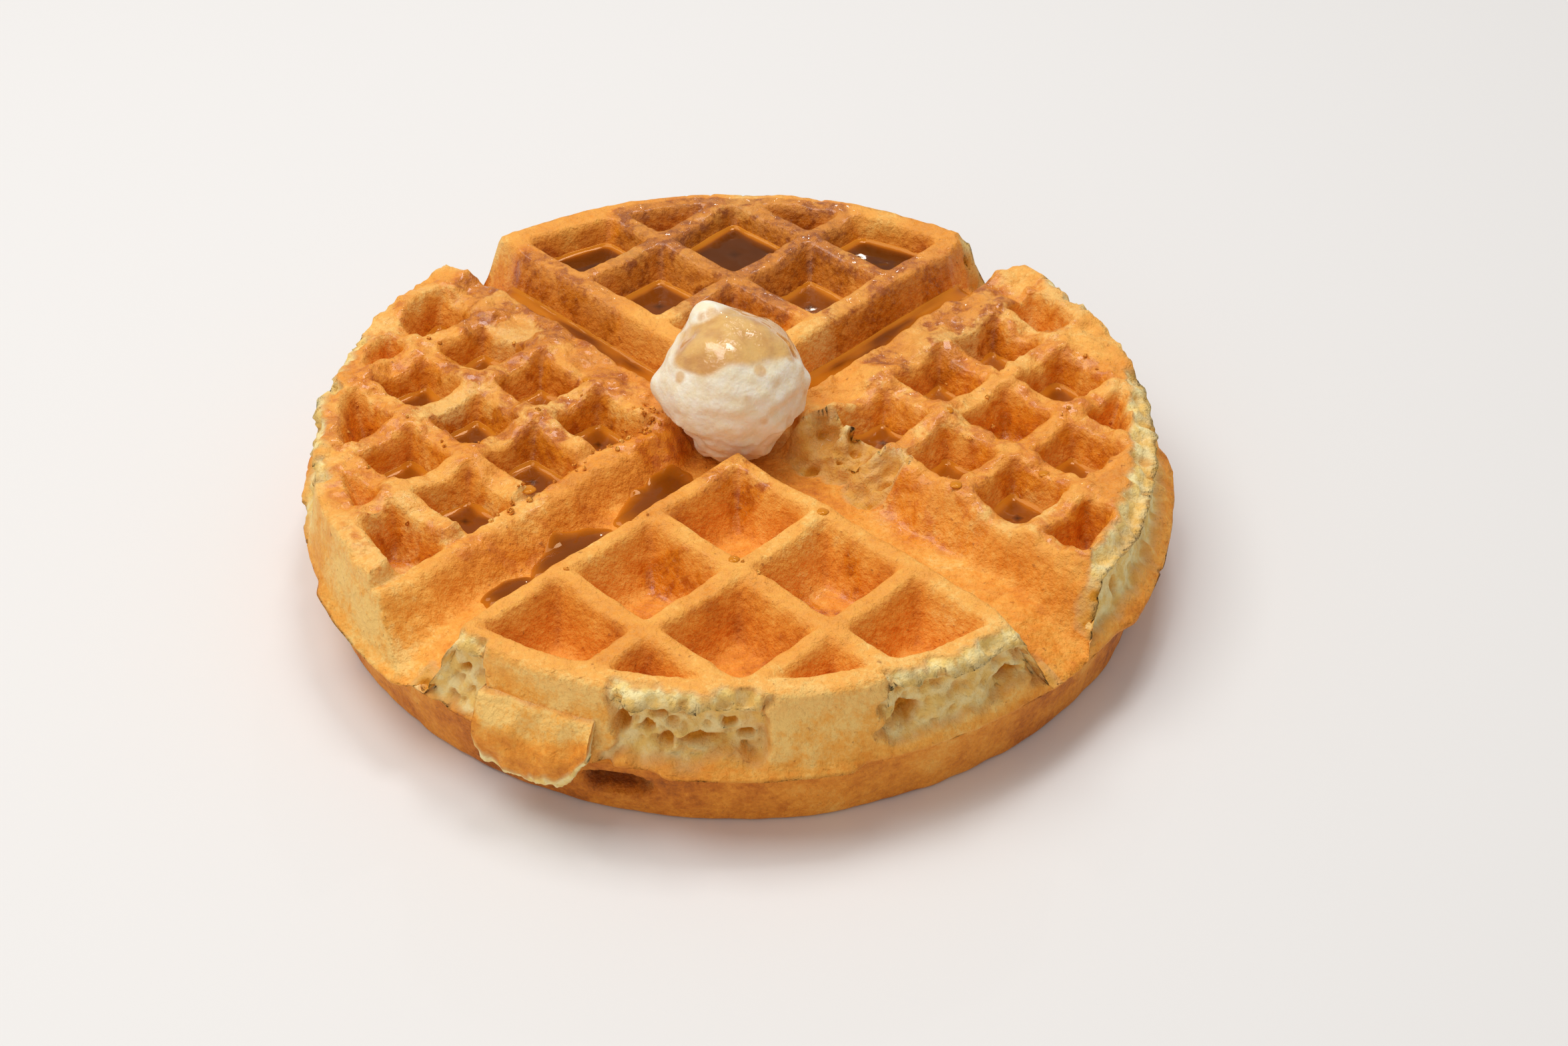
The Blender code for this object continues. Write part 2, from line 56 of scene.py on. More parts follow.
TOP = 32.0
PARTING = 16.0
FLOOR = 21.0
COARSE_PITCH = 24.3
FINE_PITCH = 0.75 * COARSE_PITCH
RIDGE_WIDTH = 3.6
FIRST_RIDGE = 11.4
LEFT_EDGE_DROP = 3.2
RIM_INNER_RADIUS = 81.8
RIM_DRAFT = 3.5
LAST_INNER_CORNER = 76.0
CHANNEL_HALF = 5.5
CHANNEL_FLOOR = 21.46
CHANNEL_END = 77.0
CHANNEL_RUN_OUT = 10.4
CHIP_RADIUS = 84.0
CROSSING_HALF = 9.0
CROSSING_END = 15.0
MOUTH = FIRST_RIDGE - RIDGE_WIDTH / 2.0
LEFT_BANK_OUT = -6.2
RIGHT_BANK_OUT = -5.8
FAR_BANK_OUT = -1.4
NEAR_BANK_OUT = 2.4
SOFT_EDGE = 1.6
SIDE_RADIUS = 88.0
SIDE_PER_DEGREE = 1.55
CHIP_LEVEL = 29.0

# How far ridges are worn down in spots, and between their crossings: on coarse and on fine quarters
WORN_SPOTS = (0.5, 1.3)
WORN_BETWEEN = (0.5, 1.9)

# Height and radius of the side wall, from the bottom over the parting line to the top
SIDE_PROFILE = np.array([
    (0.0, 86.2), (0.5, 86.8), (1.2, 87.1), (6.0, 87.9), (11.0, 88.5), (14.4, 88.7), (15.1, 89.2),
    (15.7, 90.7), (16.5, 90.9), (17.6, 90.2), (21.5, 89.1), (26.0, 88.1), (30.4, 87.2), (31.4, 86.8),
    (32.0, 86.1),
])

# Each quarter: which way it lies from the centre, spacing of its ridges, how far its pockets' walls lean in,
# and how far its first ridges stand from their place
QUARTERS = {
    "front": {"signs": (1, 1), "pitch": COARSE_PITCH, "draft": 5.0, "shift": 0.0, "edge_shift": 0.0},
    "far": {"signs": (-1, -1), "pitch": COARSE_PITCH, "draft": 4.4, "shift": 0.0, "edge_shift": 0.0},
    "left": {"signs": (-1, 1), "pitch": FINE_PITCH, "draft": 3.4, "shift": 0.0, "edge_shift": 2.0},
    "right": {"signs": (1, -1), "pitch": FINE_PITCH, "draft": 3.4, "shift": 1.4, "edge_shift": 0.0},
}

# Stretches of the side whose crust is torn off: start and end azimuth in degrees, low and high edge, depth
TORN_STRETCHES = (
    (-131.5, -119.5, 15.5, 34.0, 1.6), (-104.6, -84.5, 16.8, 34.0, 2.6), (-71.0, -46.0, 18.2, 34.0, 1.9),
    (-41.0, 12.0, 18.0, 34.0, 2.2), (24.0, 38.0, 17.0, 31.0, 2.0),
    (44.0, 54.0, 17.0, 31.0, 1.8), (160.0, 196.0, 17.0, 31.0, 1.7),
)

# Large air holes in the torn crumb: azimuth in degrees, height, half width, half height, depth
AIR_POCKETS = (
    (-102.6, 23.4, 1.5, 2.4, 2.6), (-98.0, 26.0, 2.2, 1.3, 2.2), (-93.6, 20.8, 4.6, 1.4, 2.6),
    (-97.2, 19.8, 1.6, 1.1, 1.8), (-99.6, 22.6, 1.4, 1.0, 1.6), (-89.6, 24.6, 1.5, 1.0, 1.6),
    (-87.4, 21.6, 1.8, 0.9, 1.6), (-67.9, 22.6, 3.4, 2.1, 3.0), (-65.6, 28.4, 1.3, 0.8, 1.4),
    (-52.8, 22.2, 3.0, 1.0, 2.2), (-124.6, 24.0, 1.6, 1.0, 1.4), (-30.0, 22.0, 1.6, 2.4, 2.0),
    (-24.0, 26.0, 1.2, 2.0, 1.6), (14.0, 24.0, 2.4, 1.2, 2.0), (25.0, 21.0, 1.8, 1.4, 2.0),
    (170.0, 24.0, 2.2, 1.2, 2.0), (186.0, 22.0, 1.8, 1.6, 2.0),
)

# Where the lip at the parting line stands out: start and end azimuth in degrees, and how far
FLASH_STRETCHES = ((-156.0, -131.0, 1.6), (-99.0, -73.0, 2.0), (-34.0, 6.0, 1.4))

# The right side's crumb is soft and even: its middle azimuth, and how far it reaches, in degrees
SOFT_CRUMB_MIDDLE = -14.0
SOFT_CRUMB_REACH = (26.0, 34.0)
SOFT_CRUMB_SHARE = 0.35

# Lumps of crumb torn out of the top: centre and radii
TORN_LUMPS = (
    ((17.0, -3.4, 31.5), (6.2, 5.4, 8.0)),
    ((24.4, -7.2, 31.5), (7.4, 5.2, 8.2)),
    ((28.6, -14.4, 31.5), (6.6, 4.6, 7.6)),
)

# Layers of uneven relief: amount, size of the swellings and seed
RIM_EDGE = ((1.0, 3.4, 27), (0.6, 1.5, 28))
TORN_EDGE = ((2.2, 7.5, 31), (1.3, 2.6, 32))
SIDE_WAVES = ((0.45, 16.0, 41), (0.16, 4.0, 42))
SIDE_CRAGS = ((1.1, 4.2, 43), (0.6, 1.6, 44))
TOP_PEBBLES = ((0.20, 5.5, 81), (0.10, 2.2, 82), (0.06, 1.1, 83))
TOP_CRAGS = ((1.3, 3.2, 86), (0.6, 1.4, 87))
LOWER_PEBBLES = ((0.14, 5.5, 81), (0.07, 2.2, 82))
BAKED_PATCHES = ((0.26, 15.0, 91), (0.14, 5.0, 92))

# How far ridges and walls stray: on coarse quarters, how much more on fine ones, size, and step of the seed
STRAY = ((0.34, 0.22, 11.0, 0), (0.16, 0.34, 4.2, 1))

# Small air holes of the side's crumb: share, where a hole fades in and is full, spacing and seed
SIDE_HOLES = ((0.8, 0.40, 0.14, 4.6, 51), (0.5, 0.42, 0.2, 2.3, 61))

# Numbers that stir the bits of a cell's place
PLACE_STIRS = (73856093, 19349663, 83492791)
SEED_STIR = 265443576
BIT_STIRS = ((13, 1274126177), (15, 2246822519))
LOW_32_BITS = 0xFFFFFFFF
LOW_24_BITS = 0xFFFFFF


def cell_noise(cells, seed):
    """An even random number from 0 to 1 for each whole-number cell."""
    mixed = (seed + 7) * SEED_STIR
    for axis, stir in enumerate(PLACE_STIRS):
        mixed = mixed ^ (cells[..., axis] * stir)
    for shift, stir in BIT_STIRS:
        mixed = ((mixed ^ (mixed >> shift)) * stir) & LOW_32_BITS
    return ((mixed ^ (mixed >> 16)) & LOW_24_BITS) / LOW_24_BITS


def soft_noise(points, size, seed):
    """Smooth noise between -1 and 1 whose swellings have that size."""
    place = points / size
    base = np.floor(place).astype(np.int64)
    part = place - base
    ease = part * part * (3.0 - 2.0 * part)
    total = np.zeros(len(points))
    for corner in np.ndindex(2, 2, 2):
        weight = np.prod(np.where(np.array(corner) == 1, ease, 1.0 - ease), axis=1)
        total += weight * cell_noise(base + np.array(corner), seed)
    return 2.0 * total - 1.0


def relief(points, layers):
    """Sum of layers of smooth noise."""
    return sum(amount * soft_noise(points, size, seed) for amount, size, seed in layers)


def air_holes(points, size, seed):
    """Distance from the middle of the nearest air hole, where 1 is the spacing of the holes."""
    place = points / size
    base = np.floor(place).astype(np.int64)
    nearest = np.full(len(points), 9.0)
    for step in np.ndindex(3, 3, 3):
        cell = base + np.array(step) - 1
        jitter = np.stack([cell_noise(cell, seed + axis) for axis in range(3)], axis=1)
        nearest = np.minimum(nearest, np.linalg.norm(place - cell - jitter, axis=1))
    return nearest


def fade(low, high, value):
    """0 below low, 1 above high and smooth between; it falls instead where low is above high."""
    part = np.clip((value - low) / (high - low), 0.0, 1.0)
    return part * part * (3.0 - 2.0 * part)


def soft_min(first, second, width):
    overlap = np.maximum(width - np.abs(first - second), 0.0) / width
    return np.minimum(first, second) - overlap * overlap * width / 4.0


def soft_max(first, second, width):
    return -soft_min(-first, -second, width)


def with_height(flat, height):
    return np.column_stack([flat, np.broadcast_to(height, len(flat))])


def warp(flat):
    """Points moved a little, so that the ridges and walls aren't ruler straight."""
    points = with_height(flat, 0.0)
    fine = fade(-4.0, 4.0, -(flat @ ALONG) * (flat @ ACROSS) / 12.0)
    moved = [sum((amount + more * fine) * soft_noise(points, size, seed + step)
                 for amount, more, size, step in STRAY) for seed in (11, 21)]
    return flat + np.column_stack(moved)


def pocket_wall(flat):
    """How far each point is down a pocket's wall, from 0 at its edge to 1 at its foot, its quarter, how near
    it is to the line where two walls meet, and how far between two crossings of the ridges."""
    along, across = flat @ ALONG, flat @ ACROSS
    from_rim = RIM_INNER_RADIUS - np.hypot(flat[:, 0], flat[:, 1])
    wall = np.full(len(flat), -2.0)
    number = np.zeros(len(flat), dtype=np.int64)
    corner_line = np.zeros(len(flat))
    between = np.zeros(len(flat))
    for index, quarter in enumerate(QUARTERS.values()):
        first, second = along * quarter["signs"][0], across * quarter["signs"][1]
        chosen = (first > 0.0) & (second > 0.0)
        first, second = first[chosen], second[chosen]
        pitch, edge_shift = quarter["pitch"], quarter["edge_shift"]
        half = (pitch - RIDGE_WIDTH) / 2.0
        start = FIRST_RIDGE + quarter["shift"] + RIDGE_WIDTH / 2.0
        row = np.floor((first - start + RIDGE_WIDTH / 2.0) / pitch)
        column = np.floor((second - start + RIDGE_WIDTH / 2.0) / pitch)
        edge = np.where(row == 0, edge_shift, 0.0)
        from_first = half + edge / 2.0 - np.abs(first - start - row * pitch - half + edge / 2.0)
        from_second = half - np.abs(second - start - column * pitch - half)
        corner = np.hypot(start + row * pitch - edge, start + column * pitch)
        inside = soft_min(from_first, from_second, 1.3)
        inside = np.where((row < 0) | (column < 0) | (corner > LAST_INNER_CORNER), -8.0, inside)
        beside_corner = np.where(inside > -1.0, np.abs(from_first - from_second), 9.0)
        inside = soft_min(inside / quarter["draft"], from_rim[chosen] / RIM_DRAFT, 0.5)
        wall[chosen] = inside
        number[chosen] = index
        corner_line[chosen] = np.exp(-beside_corner / 1.5)
        phases = [2.0 * math.pi * (part - start + RIDGE_WIDTH / 2.0) / pitch for part in (first, second)]
        between[chosen] = 1.0 - np.clip((np.cos(phases[0]) + np.cos(phases[1])) / 2.0, 0.0, 1.0)
    return wall, number, corner_line, between


def channel_height(beside, distance, low_mouth, high_mouth, low_foot):
    """Height of a channel's floor and walls, at a distance from the centre and beside its middle line."""
    run_out = np.clip((distance - CHANNEL_END) / CHANNEL_RUN_OUT, 0.0, 1.3)
    floor = CHANNEL_FLOOR - 4.0 * run_out
    widen = 2.2 * np.minimum(run_out, 1.0)
    mouth = np.where(beside < 0.0, low_mouth, high_mouth) + widen
    foot = np.where(beside < 0.0, low_foot, CHANNEL_HALF + 0.6) + widen
    foot = np.minimum(foot, mouth - 2.6)
    slope = (TOP - 1.0 - CHANNEL_FLOOR) / (mouth - foot)
    return soft_max(floor, CHANNEL_FLOOR + (np.abs(beside) - foot) * slope, 2.0)


def rim_chips(flat):
    """How fully the rim's crust is chipped off at each point, and how far the point is past its edge."""
    radius, azimuth = np.hypot(flat[:, 0], flat[:, 1]), np.arctan2(flat[:, 1], flat[:, 0])
    chipped = np.zeros(len(flat))
    near_rim = radius > CHIP_RADIUS - 5.0
    chipped[near_rim] = torn_crust(azimuth[near_rim], np.full(near_rim.sum(), CHIP_LEVEL))[1]
    on_right = fade(26.0, 14.0, np.abs(np.degrees(azimuth) - SOFT_CRUMB_MIDDLE))
    ragged = relief(with_height(flat, 0.0), RIM_EDGE)
    return chipped, radius - CHIP_RADIUS + 2.4 * on_right + 1.1 * ragged


def moulded_height(flat):
    """Height of the moulded top at points given as x and y, before any roughness."""
    given = flat
    flat = warp(flat)
    along, across = flat @ ALONG, flat @ ACROSS
    wall, number, _, between = pocket_wall(flat)
    slope = TOP - (wall + 0.03) * (TOP - FLOOR)
    floor = np.full(len(flat), FLOOR)
    height = soft_max(soft_min(np.full(len(flat), TOP), slope, 1.9), floor, np.where(number < 2, 4.2, 3.0))
    lowered = LEFT_EDGE_DROP * fade(14.2, 12.6, -along) * fade(0.0, 1.0, -along) * fade(10.0, 14.0, across)
    height = np.minimum(height, TOP - lowered)
    in_lattice = fade(RIM_INNER_RADIUS - 0.8, LAST_INNER_CORNER, np.hypot(given[:, 0], given[:, 1]))
    worn = fade(0.1, 0.75, soft_noise(with_height(flat, 0.0), 8.0, 25)) * np.where(number < 2, *WORN_SPOTS)
    worn = worn + between * in_lattice * np.where(number < 2, *WORN_BETWEEN)
    chipped, inwards = rim_chips(given)
    worn = worn + 3.0 * chipped * fade(0.0, 3.6, inwards)
    height = np.minimum(height, TOP - worn - 0.2 * soft_noise(with_height(flat, 0.0), 3.0, 26))

    def moved_bank(distance, shift):
        """Place of a bank that moves out by an amount once it is past the crossing."""
        return MOUTH + shift * fade(CROSSING_HALF, CROSSING_END, distance)

    left_bank, right_bank = moved_bank(-along, LEFT_BANK_OUT), moved_bank(-across, RIGHT_BANK_OUT)
    far_bank = moved_bank(np.maximum(-along, -across), FAR_BANK_OUT)
    right_side = np.where(along > 0.0, moved_bank(along, NEAR_BANK_OUT), far_bank)
    left_side = np.where(across > 0.0, MOUTH + 0.4, far_bank)
    foot = np.full(len(flat), CHANNEL_HALF + 0.6)
    gentle_foot = foot - 3.1 * fade(CROSSING_HALF, CROSSING_END, across)
    beside_along = channel_height(across, np.abs(along), right_side, left_bank, foot)
    beside_across = channel_height(along, np.abs(across), left_side, right_bank, gentle_foot)
    return soft_min(soft_min(height, beside_along, SOFT_EDGE), beside_across, SOFT_EDGE)


def on_side(azimuth, height):
    """Points of a plain round wall, which the noise of the side is read at."""
    return np.column_stack([SIDE_RADIUS * np.cos(azimuth), SIDE_RADIUS * np.sin(azimuth), height])


def degrees_past(azimuth, middle):
    """How far an azimuth is past a middle one in degrees, from -180 to 180."""
    return (np.degrees(azimuth) - middle + 180.0) % 360.0 - 180.0


def torn_crust(azimuth, height):
    """Depth of the torn crumb inside the crust, how fully the crust is gone, and how far inside a large air
    hole, for painted shade.
    """
    ragged = relief(on_side(azimuth, height), TORN_EDGE)
    depth, gone, hollow = np.zeros(len(azimuth)), np.zeros(len(azimuth)), np.zeros(len(azimuth))
    for start, end, low, high, full in TORN_STRETCHES:
        half = (end - start) / 2.0
        beside = np.abs(degrees_past(azimuth, start + half))
        share = fade(0.0, 1.1, half - beside + 1.1 * ragged)
        share = share * fade(0.0, 1.3, height - low + ragged) * fade(0.0, 1.3, high - height + ragged)
        depth = np.maximum(depth, share * full * (1.0 - 0.45 * fade(29.0, 32.0, height)))
        gone = np.maximum(gone, share)
    for middle, level, wide, high, deep in AIR_POCKETS:
        beside = degrees_past(azimuth, middle) * SIDE_PER_DEGREE
        away = np.hypot(beside / wide, (height - level) / high) + 0.1 * ragged
        hollow = np.maximum(hollow, gone * fade(1.1, 0.6, away))
        depth = depth + gone * deep * fade(1.1, 0.6, away)
    return depth, gone, hollow


def flash_width(azimuth, height):
    """How far the lip of crust stands out at the parting line."""
    width = np.zeros(len(azimuth))
    for start, end, full in FLASH_STRETCHES:
        inside = (np.degrees(azimuth) - start) % 360.0
        width += full * fade(0.0, 3.0, inside) * fade(0.0, 3.0, end - start - inside) * (inside < end - start)
    return width * fade(1.5, 0.3, np.abs(height - PARTING))


def side_reach(azimuth, height, tearing=1.0):
    """Radius of the side wall, how fully its crust is torn off, and how much painted shade its crumb gets in
    air holes.
    """
    points = on_side(azimuth, height)
    depth, gone, hollow = torn_crust(azimuth, height)
    reach = np.interp(height, SIDE_PROFILE[:, 0], SIDE_PROFILE[:, 1]) + flash_width(azimuth, height)
    reach += relief(points, SIDE_WAVES)
    hole = sum(share * fade(edge, full, air_holes(points, size, seed))
               for share, edge, full, size, seed in SIDE_HOLES)
    crags = relief(points, SIDE_CRAGS) - 1.5 * hole
    firm = fade(*SOFT_CRUMB_REACH, np.abs(np.degrees(azimuth) - SOFT_CRUMB_MIDDLE))
    crags *= SOFT_CRUMB_SHARE + (1.0 - SOFT_CRUMB_SHARE) * firm
    # Painted shade: crumb is darkened in air holes, and firm crumb is made a little more ochre all over
    hollow = np.maximum(hollow, 0.6 * gone * hole) * (0.5 + 0.5 * firm) + 0.22 * gone * firm
    return reach + tearing * (gone * crags - depth), gone, hollow


def net_of_squares(step, reach):
    """Corner points of the squares of an even net that lie within a reach of the centre, and the squares."""
    count = int(math.ceil(2.0 * reach / step)) + 1
    line = (np.arange(count) - (count - 1) / 2.0) * step
    first, second = np.meshgrid(line, line, indexing="ij")
    flat = first.reshape(-1, 1) * ALONG - second.reshape(-1, 1) * ACROSS
    index = np.arange(count * count).reshape(count, count)
    corners = [index[:-1, :-1], index[1:, :-1], index[1:, 1:], index[:-1, 1:]]
    return flat, np.stack(corners, axis=-1).reshape(-1, 4)


def outer_loop(squares):
    """Points round the outside of a net, anticlockwise from above."""
    starts, ends = squares.ravel(), np.roll(squares, -1, axis=1).ravel()
    size = squares.max() + 1
    lonely = ~np.isin(starts * size + ends, ends * size + starts)
    after = dict(zip(starts[lonely].tolist(), ends[lonely].tolist()))
    loop = [next(iter(after))]
    while after[loop[-1]] != loop[0]:
        loop.append(after[loop[-1]])
    return np.array(loop)


def in_order(azimuth):
    """Azimuths of a loop's points in rising order, so that no strip of the side folds back on itself."""
    return (np.sort(np.unwrap(azimuth)) + math.pi) % (2.0 * math.pi) - math.pi


def drop_unused(squares, loop, *numbers):
    """Squares, loop and the points' numbers without the points that no square uses."""
    used = np.unique(squares)
    renumber = np.full(len(numbers[0]), -1)
    renumber[used] = np.arange(len(used))
    return renumber[squares], renumber[loop], *[values[used] for values in numbers]


def ring_faces(lower, upper):
    """Squares between two equal rings of points, facing outwards."""
    return np.stack([lower, np.roll(lower, -1), np.roll(upper, -1), upper], axis=1)


def make_mesh(name, points, faces, values):
    """Smooth object from points in millimetres, faces, and named numbers for each point."""
    mesh = bpy.data.meshes.new(name)
    placed = (points + FRAME_SHIFT) * MM
    mesh.from_pydata(placed.tolist(), [], [face.tolist() for group in faces for face in group])
    for title, numbers in values.items():
        mesh.attributes.new(title, "FLOAT", "POINT").data.foreach_set("value", numbers.astype(np.float32))
    mesh.shade_smooth()
    mesh.update()
    piece = bpy.data.objects.new(name, mesh)
    bpy.context.collection.objects.link(piece)
    return piece


def mesh_points(piece):
    """Places of a mesh's points in millimetres."""
    places = np.empty(len(piece.data.vertices) * 3)
    piece.data.vertices.foreach_get("co", places)
    return places.reshape(-1, 3) / MM


def push_outwards(piece, amount):
    """Moves each point along its normal by an amount in millimetres."""
    mesh = piece.data
    normals = np.empty(len(mesh.vertices) * 3)
    mesh.vertex_normals.foreach_get("vector", normals)
    places = mesh_points(piece) + normals.reshape(-1, 3) * amount[:, None]
    mesh.vertices.foreach_set("co", places.ravel() * MM)
    mesh.update()


HOLE_SPACING = 4.6
HOLE_SEED = 88
UPPER_STEP = 0.6
NET_REACH = 92.0
NET_MARGIN = 0.4
SETTLING_ROUNDS = 6
UPPER_SIDE_ROWS = 22
TEARING_ROWS = 3
CRAGGY_RADIUS = 70.0
flat, squares = net_of_squares(UPPER_STEP, NET_REACH)
azimuth = np.arctan2(flat[:, 1], flat[:, 0])
height = moulded_height(flat)
edge_height = np.minimum(height, TOP)
reach = side_reach(azimuth, edge_height, 0.0)[0]
within = np.hypot(flat[:, 0], flat[:, 1]) < reach - NET_MARGIN * UPPER_STEP
squares = squares[within[squares].all(axis=1)]
loop = outer_loop(squares)

# The net's outermost points move out to the side wall, at the height that the top has there
loop_azimuth = in_order(azimuth[loop])
outwards = np.column_stack([np.cos(loop_azimuth), np.sin(loop_azimuth)])
for _ in range(SETTLING_ROUNDS):
    loop_height = moulded_height(outwards * reach[loop][:, None])
    reach[loop] = side_reach(loop_azimuth, loop_height, 0.0)[0]
flat[loop] = outwards * reach[loop][:, None]
height[loop] = loop_height

squares, loop, flat, height = drop_unused(squares, loop, flat, height)

# Crumb shows where a lump is torn out of the top and where the rim is chipped
crumb = np.zeros(len(flat))
for (x, y, z), radii in TORN_LUMPS:
    away = np.hypot((flat[:, 0] - x) / radii[0], (flat[:, 1] - y) / radii[1])
    away += 0.16 * soft_noise(with_height(flat, 3.0), 3.0, 71)
    hollow = z - radii[2] * np.sqrt(np.maximum(1.0 - away * away, 0.0))
    height = np.where(away < 1.0, np.minimum(height, hollow), height)
    crumb = np.maximum(crumb, fade(1.08, 0.95, away))

chipped, inwards = rim_chips(flat)
crumb = np.maximum(crumb, chipped * fade(0.2, 1.2, inwards))

points = [with_height(flat, height)]
faces = [squares]
torn = [crumb]
small_holes = air_holes(with_height(flat, height), HOLE_SPACING, HOLE_SEED)
# Painted shade: crumb darkens deeper in the torn lumps and in their air holes
painted_hole_shade = [crumb * (0.85 * fade(31.0, 26.0, height) + 0.5 * fade(0.34, 0.2, small_holes))]
ring = loop
for row in range(1, UPPER_SIDE_ROWS + 1):
    level = loop_height + (PARTING - loop_height) * row / UPPER_SIDE_ROWS
    side, gone, hollow = side_reach(loop_azimuth, level, min(row / TEARING_ROWS, 1.0))
    painted_hole_shade.append(hollow)
    points.append(np.column_stack([outwards * side[:, None], level]))
    torn.append(gone)
    below = len(flat) + (row - 1) * len(loop) + np.arange(len(loop))
    faces.append(ring_faces(below, ring))
    ring = below
parting_ring = points[-1]
points.append(np.array([[0.0, 0.0, PARTING]]))
torn.append(np.zeros(1))
painted_hole_shade.append(np.zeros(1))
centre = len(flat) + UPPER_SIDE_ROWS * len(loop)
faces.append(np.stack([np.roll(ring, -1), ring, np.full(len(ring), centre)], axis=1))
points = np.concatenate(points)
torn = np.concatenate(torn)
painted_hole_shade = np.concatenate(painted_hole_shade)

# How rough each point is: crust is pebbled, the fine quarters more so, and torn crumb is craggy
wall, quarter_number, corner_line, _ = pocket_wall(warp(points[:, :2]))
on_top = np.arange(len(points)) < len(flat)
fine = np.where(on_top & (quarter_number >= 2), 1.0, 0.0)
inside_rim = np.hypot(points[:, 0], points[:, 1]) < CRAGGY_RADIUS
ridge = fade(0.25, -0.05, wall) * fade(26.0, 31.0, points[:, 2])
pebbles = relief(points, TOP_PEBBLES) + 0.34 * fine * soft_noise(points, 3.4, 80)
grains = soft_noise(points, 1.7, 84) * (0.12 + 0.38 * fine * ridge)
pits = -0.35 * fade(0.22, 0.1, air_holes(points, 3.6, 85)) * (0.4 + 0.6 * ridge)
holed = fade(0.36, 0.16, air_holes(points, HOLE_SPACING, HOLE_SEED))
crags = torn * on_top * (relief(points, TOP_CRAGS) - 1.5 * holed)
turned_away = np.abs(np.degrees(np.arctan2(points[:, 1], points[:, 0])) - SOFT_CRUMB_MIDDLE)
firm = SOFT_CRUMB_SHARE + (1.0 - SOFT_CRUMB_SHARE) * fade(*SOFT_CRUMB_REACH, turned_away)
crags *= np.where(inside_rim, 1.0, firm)
roughness = (pebbles + grains + pits) * (1 - torn) + crags
roughness[centre] = 0.0
upper = make_mesh("waffle_upper", points, faces, {"torn": torn, "hollow": painted_hole_shade})
push_outwards(upper, roughness)


class Reading:
    """Output of a shader node, with the sums that are used on it written as Python sums."""

    def __init__(self, finish, socket):
        self.finish, self.socket = finish, socket

    def maths(self, operation, *values):
        return self.finish.node("ShaderNodeMath", {"operation": operation}, dict(enumerate(values)))

    def __add__(self, other):
        return self.maths("ADD", self, other)

    def __mul__(self, other):
        return self.maths("MULTIPLY", self, other)

    def __sub__(self, other):
        return self.maths("SUBTRACT", self, other)

    def __rsub__(self, other):
        return self.maths("SUBTRACT", other, self)

    __radd__ = __add__
    __rmul__ = __mul__

    def stretch(self, low, high):
        """0 at low and 1 at high, smooth between; low may be above high."""
        return self.finish.node("ShaderNodeMapRange", {"interpolation_type": "SMOOTHSTEP"},
                                {"Value": self, "From Min": low, "From Max": high})


def colour(red, green, blue):
    """Linear colour with alpha from the 0 to 255 numbers of a screen."""
    screen = [part / 255.0 for part in (red, green, blue)]
    return (*[((part + 0.055) / 1.055) ** 2.4 if part > 0.04045 else part / 12.92 for part in screen], 1.0)


class Finish:
    """A material under construction."""

    def __init__(self, name):
        self.material = bpy.data.materials.new(name)
        self.material.use_nodes = True
        self.tree = self.material.node_tree
        self.surface = self.tree.nodes["Principled BSDF"]
        self.place = Reading(self, self.tree.nodes.new("ShaderNodeTexCoord").outputs["Object"])

    def node(self, kind, settings, sockets, output=0):
        """Adds a node, sets its settings first and then its sockets, and gives one of its outputs."""
        made = self.tree.nodes.new(kind)
        for title, setting in settings.items():
            if title == "stops":
                for stop in range(len(setting) - 2):
                    made.color_ramp.elements.new(0.5)
                for element, (position, shade) in zip(made.color_ramp.elements, setting):
                    element.position, element.color = position, shade
            else:
                setattr(made, title, setting)
        for title, value in sockets.items():
            if isinstance(value, Reading):
                self.tree.links.new(value.socket, made.inputs[title])
            else:
                made.inputs[title].default_value = value
        return Reading(self, made.outputs[output])

    def noise(self, size, detail=3.0, roughness=0.55):
        """Noise from 0 to 1 whose swellings have that size in millimetres."""
        return self.node("ShaderNodeTexNoise", {}, {"Vector": self.place, "Scale": 1.0 / (size * MM),
                                                    "Detail": detail, "Roughness": roughness})

    def number(self, title):
        """Number that the mesh holds for each point."""
        return self.node("ShaderNodeAttribute", {"attribute_name": title}, {}, output=2)

    def blend(self, share, first, second):
        """Colour between two colours, which are values or readings."""
        return self.node("ShaderNodeMix", {"data_type": "RGBA"}, {0: share, 6: first, 7: second}, output=2)

    def bump(self, relief, distance, strength=1.0, under=None):
        sockets = {"Height": relief, "Distance": distance * MM, "Strength": strength}
        if under is not None:
            sockets["Normal"] = under
        return self.node("ShaderNodeBump", {}, sockets)

    def finish(self, **sockets):
        """Sets the surface's sockets, each named with underscores for its spaces, and gives the material."""
        for title, value in sockets.items():
            socket = self.surface.inputs[title.replace("_", " ").title().replace("Ior", "IOR")]
            if isinstance(value, Reading):
                self.tree.links.new(value.socket, socket)
            else:
                socket.default_value = value
        return self.material


